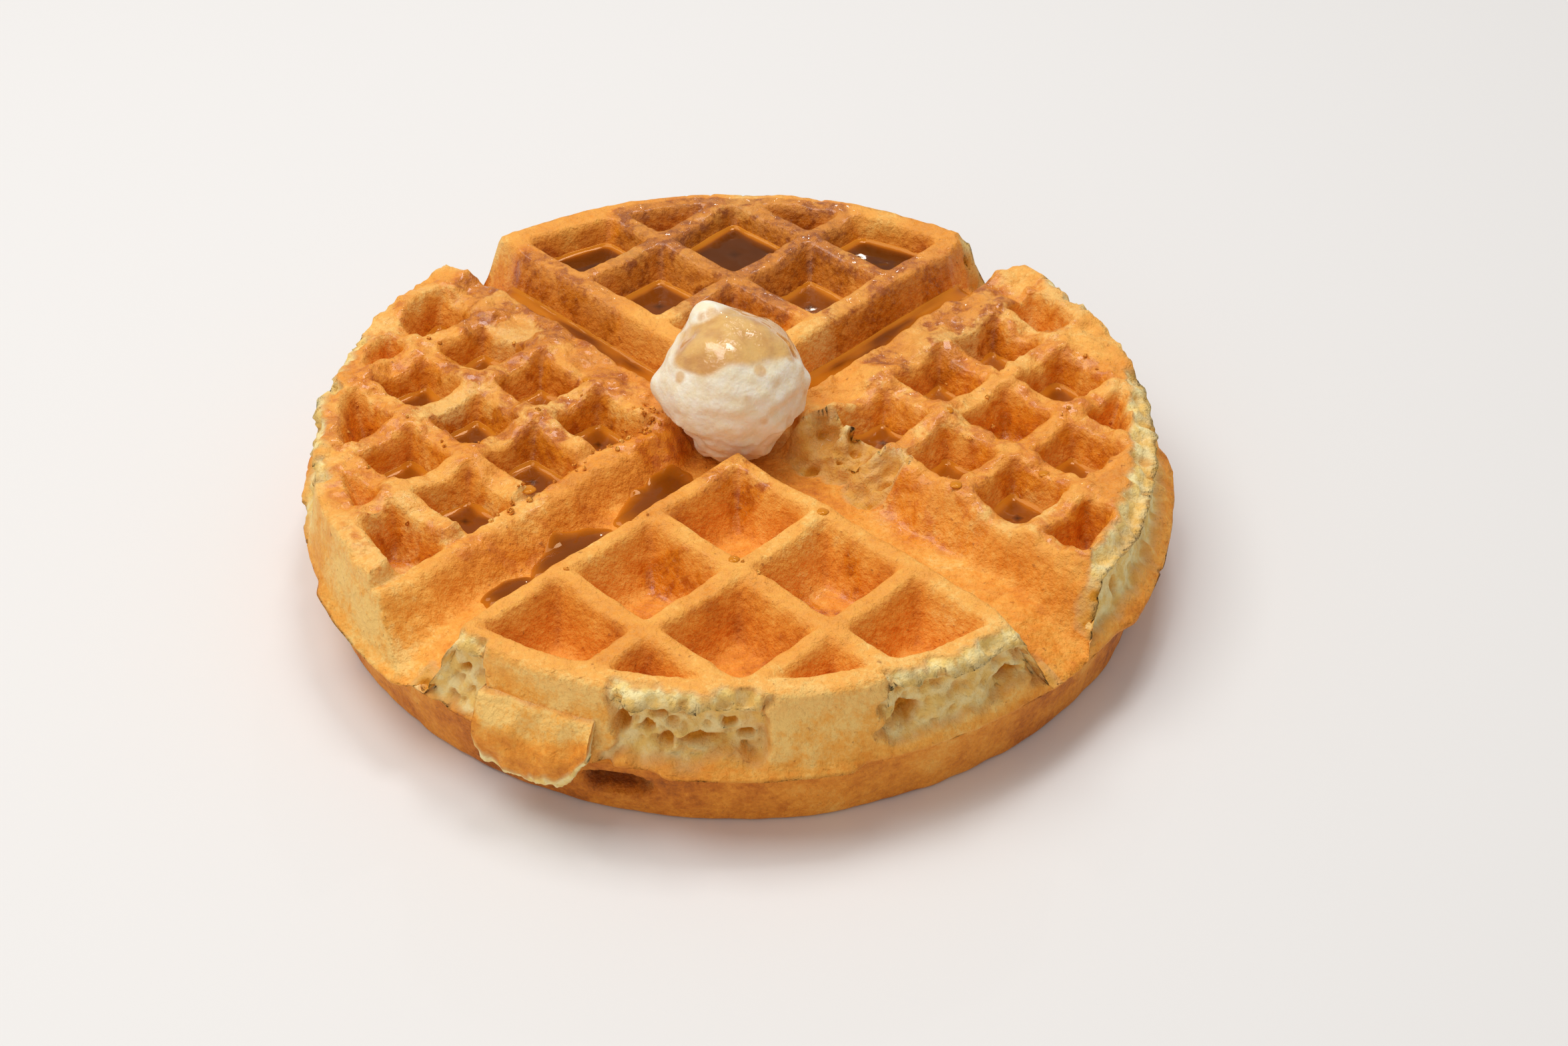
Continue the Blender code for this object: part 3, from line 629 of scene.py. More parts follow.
def crust_finish():
    """Baked crust: pale ridges, golden walls, pale crumb where torn, gloss where wet, and painted shade in
    creases and holes.
    """
    crust = Finish("waffle crust")
    torn, wet = crust.number("torn"), crust.number("wet")
    bake, ridge = crust.number("bake"), crust.number("ridge")
    mottle = crust.noise(7.0, 4.0, 0.6)
    grain = crust.noise(0.9, 3.0, 0.65)
    freckle = crust.noise(2.4, 3.0, 0.6)
    base = crust.node("ShaderNodeValToRGB", {"stops": (
        (0.0, colour(250, 202, 116)), (0.20, colour(246, 174, 74)), (0.42, colour(236, 149, 46)),
        (0.68, colour(206, 116, 26)), (0.95, colour(144, 72, 14)))},
        {0: bake + (mottle - 0.5) * 0.6 + (grain - 0.5) * 0.5 + (freckle - 0.5) * 0.5})
    pale = crust.blend(ridge * grain.stretch(0.3, 0.62) * 0.5, base, colour(246, 176, 88))
    patch = crust.noise(9.0, 5.0, 0.62).stretch(0.45, 0.56)
    light_soak = crust.blend(freckle.stretch(0.4, 0.65), colour(238, 144, 26), colour(208, 108, 12))
    deep_soak = crust.blend(freckle.stretch(0.4, 0.65), colour(206, 122, 30), colour(160, 84, 16))
    soak = crust.blend(wet.stretch(0.66, 0.95), light_soak, deep_soak)
    soaked = crust.blend(wet * (0.15 + patch * 1.1) + wet.stretch(0.75, 1.0) * 0.45, pale, soak)
    crumb = crust.blend(crust.noise(2.6).stretch(0.35, 0.65), colour(254, 236, 174), colour(250, 212, 124))
    crumb = crust.blend(crust.noise(9.0).stretch(0.52, 0.74) * 0.5, crumb, colour(240, 182, 86))
    edge = torn * (1 - torn) * 4.0
    # Painted shade: the crumb turns darker ochre in its air holes and deep torn hollows
    crumb = crust.blend(crust.number("hollow") * 0.9, crumb, colour(214, 142, 36))
    shade = crust.blend(torn, soaked, crumb)
    shade = crust.blend(edge * 0.35, shade, colour(206, 128, 44))
    specks = crust.noise(1.5, 2.0).stretch(0.68, 0.76) * (1 - torn)
    shade = crust.blend(specks * 0.55, shade, colour(150, 78, 22))
    relief = crust.bump(crust.noise(0.5, 2.0, 0.7), 0.2, 0.9, crust.bump(crust.noise(1.5, 3.0), 0.7, 1.0))
    glazed = wet * (0.3 + patch * 0.7)
    rough = 0.62 - glazed * 0.42 + torn * 0.2
    return crust.finish(base_color=shade, roughness=rough, normal=relief, coat_weight=glazed * 0.55,
                        coat_roughness=0.08, specular_ior_level=0.32)


crust_material = crust_finish()


def set_values(piece, **values):
    """Gives each point of a mesh its named numbers."""
    for title, numbers in values.items():
        attribute = piece.data.attributes.get(title) or piece.data.attributes.new(title, "FLOAT", "POINT")
        attribute.data.foreach_set("value", np.ascontiguousarray(numbers, dtype=np.float32))


# How baked crust is everywhere, how much more or less in places, and painted shade in creases and the lower
# half
EVEN_BAKE = 0.36
WALL_BAKE = 0.05
RIDGE_BAKE = -0.04
CREASE_PAINTED_SHADE = 0.24
SYRUPY_CREASE_PAINTED_SHADE = 0.2
FRONT_RIM_BAKE = -0.14
OUTER_EDGE_BAKE = -0.20
LOWER_HALF_PAINTED_SHADE = 0.14
SYRUPY_TOP_BAKE = -0.16
FRONT_PATCHES = 0.65

# The front of the rim: its middle azimuth, and how far it reaches, in degrees
FRONT_MIDDLE = -88.0
FRONT_REACH = (52.0, 42.0)

# How wet crust is beside the pools and on the ridges between them, and where the wet ends at the rim
BESIDE_POOLS_WET = 0.8
SYRUPY_TOP_WET = 0.62
WET_RADIUS = (86.5, 84.5)

# Soaked places: distance along and across the lattice, their size, and how wet
SOAKED = (
    (-46.0, -46.0, 34.0, 1.0), (-62.0, 0.0, 22.0, 0.85), (0.0, -55.0, 26.0, 0.85), (-40.0, 24.0, 26.0, 0.8),
    (-20.0, 55.0, 20.0, 0.5), (44.0, -22.0, 22.0, 0.62), (14.0, 14.0, 9.0, 0.8), (26.0, 44.0, 8.0, 0.8),
    (46.0, 22.0, 7.0, 0.8), (-14.0, 14.0, 12.0, 0.7), (20.0, -20.0, 10.0, 0.5),
)


def crust_values(piece, wall, number, corner_line):
    """How baked, with painted shade in creases and on the lower half, how wet and how much on a ridge each
    point is.
    """
    places = mesh_points(piece) - FRAME_SHIFT
    along, across = places[:, :2] @ ALONG, places[:, :2] @ ACROSS
    height = places[:, 2]
    ridge = fade(0.22, -0.02, wall) * fade(25.0, 30.5, height)
    on_wall = fade(0.05, 0.3, wall) * fade(1.25, 0.95, wall)
    syrupy = (number >= 2) & (height > PARTING)
    bake = EVEN_BAKE + WALL_BAKE * np.clip(wall, 0.0, 1.0) + RIDGE_BAKE * ridge
    # Painted shade: the crust darkens along the lines where two pocket walls meet
    bake += (CREASE_PAINTED_SHADE + SYRUPY_CREASE_PAINTED_SHADE * syrupy) * corner_line * on_wall
    radius = np.hypot(places[:, 0], places[:, 1])
    azimuth = np.degrees(np.arctan2(places[:, 1], places[:, 0]))
    in_front = fade(*FRONT_REACH, np.abs(azimuth - FRONT_MIDDLE))
    on_rim = fade(79.5, 83.0, radius + 1.2 * soft_noise(places, 4.0, 95)) * fade(27.0, 30.0, height)
    bake += FRONT_RIM_BAKE * on_rim * in_front
    bake += OUTER_EDGE_BAKE * fade(86.0, 87.5, radius) * fade(PARTING, PARTING + 3.0, height)
    # Painted shade: everything below the parting line is darkened, as if in shadow under the lip
    bake += LOWER_HALF_PAINTED_SHADE * (height < PARTING - 0.5)
    bake += relief(places, BAKED_PATCHES) * np.where((number == 0) & (height > PARTING), FRONT_PATCHES, 1.0)
    wet = np.zeros(len(places))
    for first, second, size, full in SOAKED:
        away = np.hypot(along - first, across - second) + 3.0 * soft_noise(places, 6.0, 93)
        wet = np.maximum(wet, full * fade(size, size * 0.8, away))
    low = fade(27.5, 24.0, height + 1.6 * soft_noise(places, 4.0, 94)) * syrupy * (wall > 0.05)
    wet = np.maximum(wet, BESIDE_POOLS_WET * low) * (height > 19.0)
    on_top = (number >= 2) & (height > 20.0) & (wall > -1.5)
    wet = np.maximum(wet, SYRUPY_TOP_WET * on_top)
    bake += SYRUPY_TOP_BAKE * on_top
    wet *= fade(*WET_RADIUS, radius)
    set_values(piece, bake=bake, wet=wet, ridge=ridge)


crust_values(upper, wall, quarter_number, corner_line)
upper.data.materials.append(crust_material)
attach(upper, "root")
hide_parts("waffle")


# The lower half of the waffle: the other face of the same cake, moulded by the lower plate, with a smooth
# side wall below the parting line and shallower pockets in the underside. Its outermost ring of points is
# the upper half's, so that the two meet without a gap.

UNDER_DEPTH = 9.0
UNDER_STEP = 1.0
LOWER_SIDE_ROWS = 26
UNDER_EDGE_RADIUS = 85.4

# Hollow under the flap: azimuth, height, half width and half height
LOW_HOLLOW = (math.radians(-103.4), 8.4, 7.6, 3.6)
LOW_HOLLOW_DEPTH = 6.5
LOWER_SIDE_RADIUS = 89.0


def under_height(flat):
    """Height of the moulded underside at points given as x and y."""
    flat = warp(flat)
    along, across = flat @ ALONG, flat @ ACROSS
    wall = pocket_wall(flat)[0]
    height = wall * UNDER_DEPTH
    for beside, distance in ((across, np.abs(along)), (along, np.abs(across))):
        groove = (MOUTH - np.abs(beside)) * UNDER_DEPTH / (MOUTH - CHANNEL_HALF)
        height = np.maximum(height, np.minimum(groove, (CHANNEL_END - distance) * 6.0))
    top = np.full(len(flat), UNDER_DEPTH)
    return soft_max(soft_min(height, top, 2.0), np.zeros(len(flat)), 1.6)


def from_low_hollow(azimuth, height):
    """Distance from the middle of the hollow under the flap, where 1 is its edge."""
    middle, level, half_width, half_height = LOW_HOLLOW
    beside = (azimuth - middle) * LOWER_SIDE_RADIUS
    return np.hypot(beside / half_width, (height - level) / half_height)


def stitch(inner, outer, inner_azimuth, outer_azimuth):
    """Triangles between two rings of points that are both anticlockwise, seen from below."""
    triangles = []
    inner_order, outer_order = np.argsort(inner_azimuth), np.argsort(outer_azimuth)
    inner, outer = inner[inner_order].tolist(), outer[outer_order].tolist()
    inner_azimuth = inner_azimuth[inner_order].tolist() + [inner_azimuth.min() + 2.0 * math.pi]
    outer_azimuth = outer_azimuth[outer_order].tolist() + [outer_azimuth.min() + 2.0 * math.pi]
    first, second = 0, 0
    while first < len(inner) or second < len(outer):
        here, there = inner[first % len(inner)], outer[second % len(outer)]
        done, left = first >= len(inner), second < len(outer)
        if not done and not (left and inner_azimuth[first + 1] >= outer_azimuth[second + 1]):
            first += 1
            triangles.append((here, inner[first % len(inner)], there))
        else:
            second += 1
            triangles.append((outer[second % len(outer)], there, here))
    return np.array(triangles)


flat, squares = net_of_squares(UNDER_STEP, UNDER_EDGE_RADIUS)
within = np.hypot(flat[:, 0], flat[:, 1]) < UNDER_EDGE_RADIUS - NET_MARGIN * UNDER_STEP
squares = squares[within[squares].all(axis=1)]
under_loop = outer_loop(squares)
under_azimuth = in_order(np.arctan2(flat[under_loop, 1], flat[under_loop, 0]))
flat[under_loop] = UNDER_EDGE_RADIUS * np.column_stack([np.cos(under_azimuth), np.sin(under_azimuth)])
squares, under_loop, flat = drop_unused(squares, under_loop, flat)

points = [with_height(flat, under_height(flat)), parting_ring]
faces = [squares[:, ::-1]]
ring = len(flat) + np.arange(len(loop))
for row in range(1, LOWER_SIDE_ROWS + 1):
    level = np.full(len(loop), PARTING * (1.0 - row / LOWER_SIDE_ROWS))
    side = side_reach(loop_azimuth, level)[0]
    side -= LOW_HOLLOW_DEPTH * fade(1.1, 0.55, from_low_hollow(loop_azimuth, level))
    points.append(np.column_stack([outwards * side[:, None], level]))
    below = len(flat) + row * len(loop) + np.arange(len(loop))
    faces.append(ring_faces(below, ring))
    ring = below
faces.append(stitch(under_loop, ring, under_azimuth, loop_azimuth))
points.append(np.array([[0.0, 0.0, PARTING]]))
centre = len(flat) + (LOWER_SIDE_ROWS + 1) * len(loop)
first_ring = len(flat) + np.arange(len(loop))
faces.append(np.stack([first_ring, np.roll(first_ring, -1), np.full(len(loop), centre)], axis=1))
points = np.concatenate(points)
lower = make_mesh("waffle_lower", points, faces, {})
wall, quarter_number, corner_line, _ = pocket_wall(warp(points[:, :2]))
away = from_low_hollow(np.arctan2(points[:, 1], points[:, 0]), points[:, 2])
torn = fade(1.0, 0.75, away) * (np.hypot(points[:, 0], points[:, 1]) > 80.0)
pebbles = relief(points, LOWER_PEBBLES)
kept_flat = (points[:, 2] > 0.4) & (points[:, 2] < PARTING - 0.01)
push_outwards(lower, np.where(kept_flat, pebbles + torn * 0.7 * soft_noise(points, 2.4, 86), 0.0))
crust_values(lower, wall, quarter_number, corner_line)
bake = np.empty(len(points), dtype=np.float32)
lower.data.attributes["bake"].data.foreach_get("value", bake)
# Painted shade: the crust inside the hollow under the flap is darkened
set_values(lower, torn=0.3 * torn * fade(-0.2, 0.5, soft_noise(points, 4.0, 96)), bake=bake + 0.4 * torn)
lower.data.materials.append(crust_material)
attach(lower, "root")
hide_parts("waffle")


# The flap of crust that hangs from the front: a strip of the upper crust that tore loose and bent outwards
# and down over the parting line, with a ragged lower edge that shows the pale crumb.

# Lower edge of the flap: azimuth in degrees and height
FLAP_EDGE = np.array((
    (-120.5, 14.5), (-118.8, 9.6), (-115.0, 8.2), (-111.5, 7.7), (-109.0, 9.2), (-107.2, 13.4),
    (-105.6, 18.0),
))
FLAP_RAGS = ((0.7, 1.4, 101), (0.4, 0.5, 102))

# How far down the flap, from 0 to 1, and its outer radius there
FLAP_BULGE = ((0.0, 0.25, 0.55, 0.8, 1.0), (89.6, 91.8, 93.8, 94.3, 93.4))
FLAP_TOP = 24.5
FLAP_THICKNESS = 2.6
FLAP_COLUMNS = 90
FLAP_ROWS = 44


def hanging_crust():
    """Closed strip: outer face from its root down to the torn edge, and back up the inner face."""
    degrees = np.linspace(FLAP_EDGE[0, 0], FLAP_EDGE[-1, 0], FLAP_COLUMNS)
    rows = []
    for row in range(FLAP_ROWS):
        turn = row / (FLAP_ROWS - 1)
        down = 1.0 - abs(1.0 - 2.0 * turn)
        inner = fade(0.44, 0.56, np.array([turn]))[0]
        edge = np.interp(degrees, FLAP_EDGE[:, 0], FLAP_EDGE[:, 1])
        edge = edge + relief(np.column_stack([degrees, np.zeros((FLAP_COLUMNS, 2))]), FLAP_RAGS)
        height = FLAP_TOP + (edge - FLAP_TOP) * down
        radius = np.interp(down, *FLAP_BULGE) - FLAP_THICKNESS * inner
        azimuth = np.radians(degrees)
        places = np.column_stack([radius * np.cos(azimuth), radius * np.sin(azimuth), height])
        places[:, :2] *= (1.0 + 0.012 * soft_noise(places, 4.0, 103))[:, None]
        places[:, 2] += 0.6 * soft_noise(places, 3.0, 104) * down
        rows.append(places)
    points = np.concatenate(rows)
    index = np.arange(FLAP_ROWS * FLAP_COLUMNS).reshape(FLAP_ROWS, FLAP_COLUMNS)
    wrapped = np.vstack([index, index[:1]])
    corners = [wrapped[1:, :-1], wrapped[1:, 1:], wrapped[:-1, 1:], wrapped[:-1, :-1]]
    faces = np.stack(corners, axis=-1).reshape(-1, 4)
    ends = [index[:, 0][None, :], index[::-1, -1][None, :]]
    piece = make_mesh("hanging_crust", points, [faces, *ends], {})
    turn = np.repeat(np.arange(FLAP_ROWS) / (FLAP_ROWS - 1), FLAP_COLUMNS)
    torn = fade(0.37, 0.42, turn + 0.05 * soft_noise(points, 2.4, 105))
    browned = fade(0.12, 0.22, turn + 0.04 * soft_noise(points, 4.0, 106))
    bake = 0.04 + 0.42 * browned + 0.1 * soft_noise(points, 3.0, 107)
    none = np.zeros(len(turn))
    set_values(piece, torn=torn, bake=bake, wet=none, ridge=none)
    push_outwards(piece, 0.22 * soft_noise(points, 1.6, 107) + 0.3 * torn * soft_noise(points, 0.9, 108))
    return piece


flap = hanging_crust()
flap.data.materials.append(crust_material)
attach(flap, "root")
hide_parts("waffle")


# The pools of syrup: clear brown syrup that has run into the pockets of three quarters. Each is a closed
# lens that fills its pocket up to its own level, creeps up the walls a little and reaches just into them.

POOL_DEPTHS = {
    "far": {(1, 0): 3.0, (0, 1): 2.4, (1, 1): 5.8, (2, 0): 4.4, (0, 2): 5.2, (2, 1): 5.6, (1, 2): 5.6},
    "left": {(0, 0): 2.2, (1, 0): 2.0, (0, 1): 2.4, (2, 0): 2.2, (1, 1): 2.6, (0, 2): 2.6,
             (3, 0): 2.0, (2, 1): 2.6, (1, 2): 2.2},
    "right": {(0, 0): 2.0, (0, 1): 1.9, (1, 0): 1.9, (0, 2): 1.8, (1, 2): 2.4, (2, 0): 2.2, (2, 1): 1.9},
}
POOL_SIDES = 96
POOL_RINGS = (0.0, 0.2, 0.4, 0.56, 0.68, 0.77, 0.84, 0.89, 0.93, 0.96, 0.98, 1.0)
CREEP_HEIGHT = 0.8
CREEP_REACH = 0.8
INTO_WALL = 0.45
POOL_SEARCH = 0.8
SEARCH_STEPS = 44
DEEP_SHARE = 0.55
SHALLOW_SHARE = 0.32


def reach_to_wall(middle, directions, level, farthest):
    """Distance from a middle point, in each direction, to where the moulded top first rises above a level."""
    steps = np.linspace(0.0, farthest, SEARCH_STEPS)
    above = np.stack([moulded_height(middle + directions * step) - level for step in steps])
    first = np.argmax(above >= 0.0, axis=0)
    first = np.where(above[first, np.arange(len(first))] >= 0.0, np.maximum(first, 1), len(steps) - 1)
    order = np.arange(len(first))
    after, before = above[first, order], above[first - 1, order]
    part = np.clip(-before / np.maximum(after - before, 1e-6), 0.0, 1.0)
    return steps[first - 1] + part * (steps[1] - steps[0])


def round_turns(sides):
    """Even angles round a circle."""
    return 2.0 * math.pi * np.arange(sides) / sides


def disc_faces(rings, sides):
    """Faces of a closed body of rings of points, from a middle point on top to one below."""
    index = 1 + np.arange(rings * sides).reshape(rings, sides)
    after = np.roll(index, -1, axis=1)
    top = np.stack([np.zeros(sides, dtype=np.int64), index[0], after[0]], axis=1)
    middle = np.stack([index[:-1], index[1:], after[1:], after[:-1]], axis=-1).reshape(-1, 4)
    bottom = np.stack([np.full(sides, 1 + rings * sides), after[-1], index[-1]], axis=1)
    return [top, middle, bottom]


def syrup_finish():
    """Clear brown syrup: nearly black red-brown where it is deep, amber where it thins out at the walls."""
    syrup = Finish("syrup")
    thick = syrup.number("thick")
    cloud = syrup.noise(9.0, 2.0)
    shade = syrup.node("ShaderNodeValToRGB", {"stops": (
        (0.0, colour(214, 132, 32)), (0.25, colour(186, 104, 18)), (0.5, colour(130, 64, 8)),
        (1.0, colour(72, 32, 4)))}, {0: thick + (cloud - 0.5) * 0.2})
    return syrup.finish(base_color=shade, roughness=0.06, ior=1.40, specular_tint=colour(255, 210, 150),
                        normal=syrup.bump(syrup.noise(5.0, 1.5), 0.3, 0.6))


syrup_material = syrup_finish()


def finish_syrup(piece, thick, node):
    set_values(piece, thick=thick)
    piece.data.materials.append(syrup_material)
    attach(piece, "root")
    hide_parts(node)


def make_pool(quarter_name, row, column, depth):
    quarter = QUARTERS[quarter_name]
    start = FIRST_RIDGE + quarter["shift"]
    pitch = quarter["pitch"]
    first, second = start + (row + 0.5) * pitch, start + (column + 0.5) * pitch
    shrink = min(1.0, (RIM_INNER_RADIUS - 5.0 - 0.18 * pitch) / math.hypot(first, second))
    first, second = first * shrink * quarter["signs"][0], second * shrink * quarter["signs"][1]
    middle = first * ALONG + second * ACROSS
    turns = round_turns(POOL_SIDES)
    directions = np.column_stack([np.cos(turns), np.sin(turns)])
    level = FLOOR + depth
    farthest = POOL_SEARCH * pitch
    contact = reach_to_wall(middle, directions, level + CREEP_HEIGHT * 0.7, farthest)
    points = [with_height(middle[None, :], level)]
    thick = [np.ones(1)]
    for share in POOL_RINGS[1:]:
        from_wall = contact * (1.0 - share)
        flat = middle + directions * (contact * share)[:, None]
        creep = CREEP_HEIGHT * np.exp(-from_wall / CREEP_REACH)
        ripple = 0.10 * soft_noise(with_height(flat, 0.0), 6.0, 111)
        points.append(with_height(flat, level + creep + ripple))
        deep = DEEP_SHARE * fade(0.8, 5.0, depth) * fade(0.0, 3.4, from_wall)
        thick.append(deep + SHALLOW_SHARE * fade(0.0, 2.0, from_wall))
    buried = with_height(middle + directions * (contact + INTO_WALL)[:, None], level + CREEP_HEIGHT * 0.6)
    points.append(buried)
    foot = reach_to_wall(middle, directions, FLOOR + 0.9, farthest)
    points.append(with_height(middle + directions * (foot + INTO_WALL)[:, None], FLOOR))
    points.append(with_height(middle[None, :], FLOOR - 0.2))
    thick += [np.zeros(POOL_SIDES), np.zeros(POOL_SIDES), np.zeros(1)]
    name = f"{quarter_name}_{row}_{column}"
    piece = make_mesh(f"pool_{name}", np.concatenate(points), disc_faces(len(POOL_RINGS) + 1, POOL_SIDES), {})
    finish_syrup(piece, np.concatenate(thick), f"syrup_{name}")


for quarter_name, depths in POOL_DEPTHS.items():
    for (row, column), depth in depths.items():
        make_pool(quarter_name, row, column, depth)


# The two streams of syrup: the same syrup lying in the channels of the far side, from the butter to the rim.
# Each is a closed strip, drawn out lengthwise, whose edges reach just into the channel's banks.

STREAM_START = 15.0
STREAM_END = 79.5
STREAM_LEVEL = CHANNEL_FLOOR + 1.3
STREAM_STATIONS = 130
STREAM_ACROSS = (0.0, 0.03, 0.07, 0.13, 0.22, 0.36, 0.5, 0.64, 0.78, 0.87, 0.93, 0.97, 1.0)


def make_stream(name, axis, side_axis):
    distances = np.linspace(STREAM_START, STREAM_END, STREAM_STATIONS)
    middles = -distances[:, None] * axis
    ends = np.minimum((distances - STREAM_START) / 5.0, (STREAM_END - distances) / 4.0)
    level = STREAM_LEVEL - 1.2 * (1.0 - np.sqrt(1.0 - (1.0 - np.clip(ends, 0.0, 1.0)) ** 2))
    level = level + 0.12 * soft_noise(with_height(middles, 0.0), 12.0, 121)
    sides = [reach_to_wall(middles, np.broadcast_to(side_axis * sign, middles.shape), level + 0.5, 12.0)
             for sign in (-1.0, 1.0)]
    columns, thick = [], []
    for share in STREAM_ACROSS:
        offset = -sides[0] + (sides[0] + sides[1]) * share
        from_wall = np.minimum(offset + sides[0], sides[1] - offset)
        flat = middles + side_axis * offset[:, None]
        surface = level + CREEP_HEIGHT * np.exp(-from_wall / CREEP_REACH)
        drawn = with_height(np.column_stack([distances * 0.3, offset]), 7.0)
        surface = surface + 0.34 * soft_noise(drawn, 1.6, 122) * fade(0.0, 1.5, from_wall)
        columns.append(with_height(flat, surface))
        thick.append((0.34 + 0.3 * soft_noise(drawn, 2.2, 123)) * fade(0.0, 1.4, from_wall))
    below = CHANNEL_FLOOR - 0.2
    for sideways, height in ((sides[1] + INTO_WALL, level), (sides[1] * 0.5, below),
                             (-sides[0] * 0.5, below), (-sides[0] - INTO_WALL, level)):
        columns.append(with_height(middles + side_axis * sideways[:, None], height))
        thick.append(np.zeros(len(middles)))
    points = np.stack(columns, axis=1)
    around = points.shape[1]
    index = np.arange(points.shape[0] * around).reshape(-1, around)
    after = np.roll(index, -1, axis=1)
    walls = np.stack([index[:-1], index[1:], after[1:], after[:-1]], axis=-1).reshape(-1, 4)
    ends = [index[:1], index[-1:, ::-1]]
    if np.cross(side_axis, -axis) < 0.0:
        walls, ends = walls[:, ::-1], [end[:, ::-1] for end in ends]
    piece = make_mesh(f"stream_{name}", points.reshape(-1, 3), [walls, *ends], {})
    finish_syrup(piece, np.stack(thick, axis=1).ravel(), f"syrup_stream_{name}")


make_stream("far_left", ALONG, ACROSS)
make_stream("far_right", ACROSS, ALONG)


# Puddles beside the front quarter: thin domed spills of syrup on the channel's floor. Each is a closed disc
# with an uneven outline, thickest in the middle.

# Each puddle: distance from the centre, how far beside the channel's middle, half length and half width
PUDDLES = {
    "near_butter": (23.5, 1.0, 11.5, 5.0),
    "middle": (47.5, 1.0, 9.6, 4.8),
    "outer": (64.5, 1.2, 6.6, 4.0),
}
PUDDLE_SIDES = 144
PUDDLE_RINGS = (0.0, 0.3, 0.55, 0.74, 0.86, 0.94, 0.985, 1.0)
PUDDLE_HEIGHT = 1.45
PUDDLE_THICK = 0.6


def make_puddle(name, distance, offset, half_length, half_width):
    turns = round_turns(PUDDLE_SIDES)
    lengthwise, sideways = half_length * np.cos(turns), half_width * np.sin(turns)
    ring = with_height(np.column_stack([lengthwise, sideways]), distance)
    outline = 1.0 + 0.30 * soft_noise(ring, 6.0, 125) + 0.08 * soft_noise(ring, 2.4, 126)
    middle = distance * ACROSS + offset * ALONG
    rounds, thick = [with_height(middle[None, :], CHANNEL_FLOOR + PUDDLE_HEIGHT)], [np.full(1, PUDDLE_THICK)]
    for share in PUDDLE_RINGS[1:]:
        reach = outline * share
        flat = middle + (sideways * reach)[:, None] * ALONG + (lengthwise * reach)[:, None] * ACROSS
        ground = moulded_height(flat)
        dome = PUDDLE_HEIGHT * math.sqrt(1.0 - share ** 3)
        rounds.append(with_height(flat, ground - 0.15 + dome))
        thick.append(np.full(PUDDLE_SIDES, PUDDLE_THICK * math.sqrt(1.0 - share ** 2)))
    rounds.append(with_height(middle[None, :], CHANNEL_FLOOR - 0.8))
    thick.append(np.zeros(1))
    faces = [face[:, ::-1] for face in disc_faces(len(PUDDLE_RINGS) - 1, PUDDLE_SIDES)]
    piece = make_mesh(f"puddle_{name}", np.concatenate(rounds), faces, {})
    finish_syrup(piece, np.concatenate(thick), f"syrup_puddle_{name}")


for name, sizes in PUDDLES.items():
    make_puddle(name, *sizes)


# The scoop of whipped butter: an uneven ball, soft from the warm waffle, that stands in the crossing with a
# film of syrup over its crown. It is one closed ball of points, pushed out into its knobs and drawn in below.

BUTTER_RADIUS = 15.4
BUTTER_CENTRE = np.array([-0.6, 2.4, TOP + 4.4])
BUTTER_FREE_HEIGHT = TOP + 1.5
BUTTER_CLEARANCE = 0.8

# Knobs of the butter: direction from its centre, rise and tightness
BUTTER_KNOBS = (
    ((-0.36, 0.50, 0.79), 0.20, 14.0), ((-1.0, -0.1, 0.05), 0.09, 40.0), ((0.95, -0.05, 0.18), 0.06, 40.0),
    ((0.5, 0.5, 0.7), 0.04, 12.0), ((-0.2, -0.8, 0.5), 0.03, 14.0),
)
BUTTER_CURDS = ((0.5, 2.6, 133), (0.3, 1.3, 134))
BUTTER_RINGS = 150
BUTTER_SIDES = 240
FILM_BALL_RADIUS = 15.0


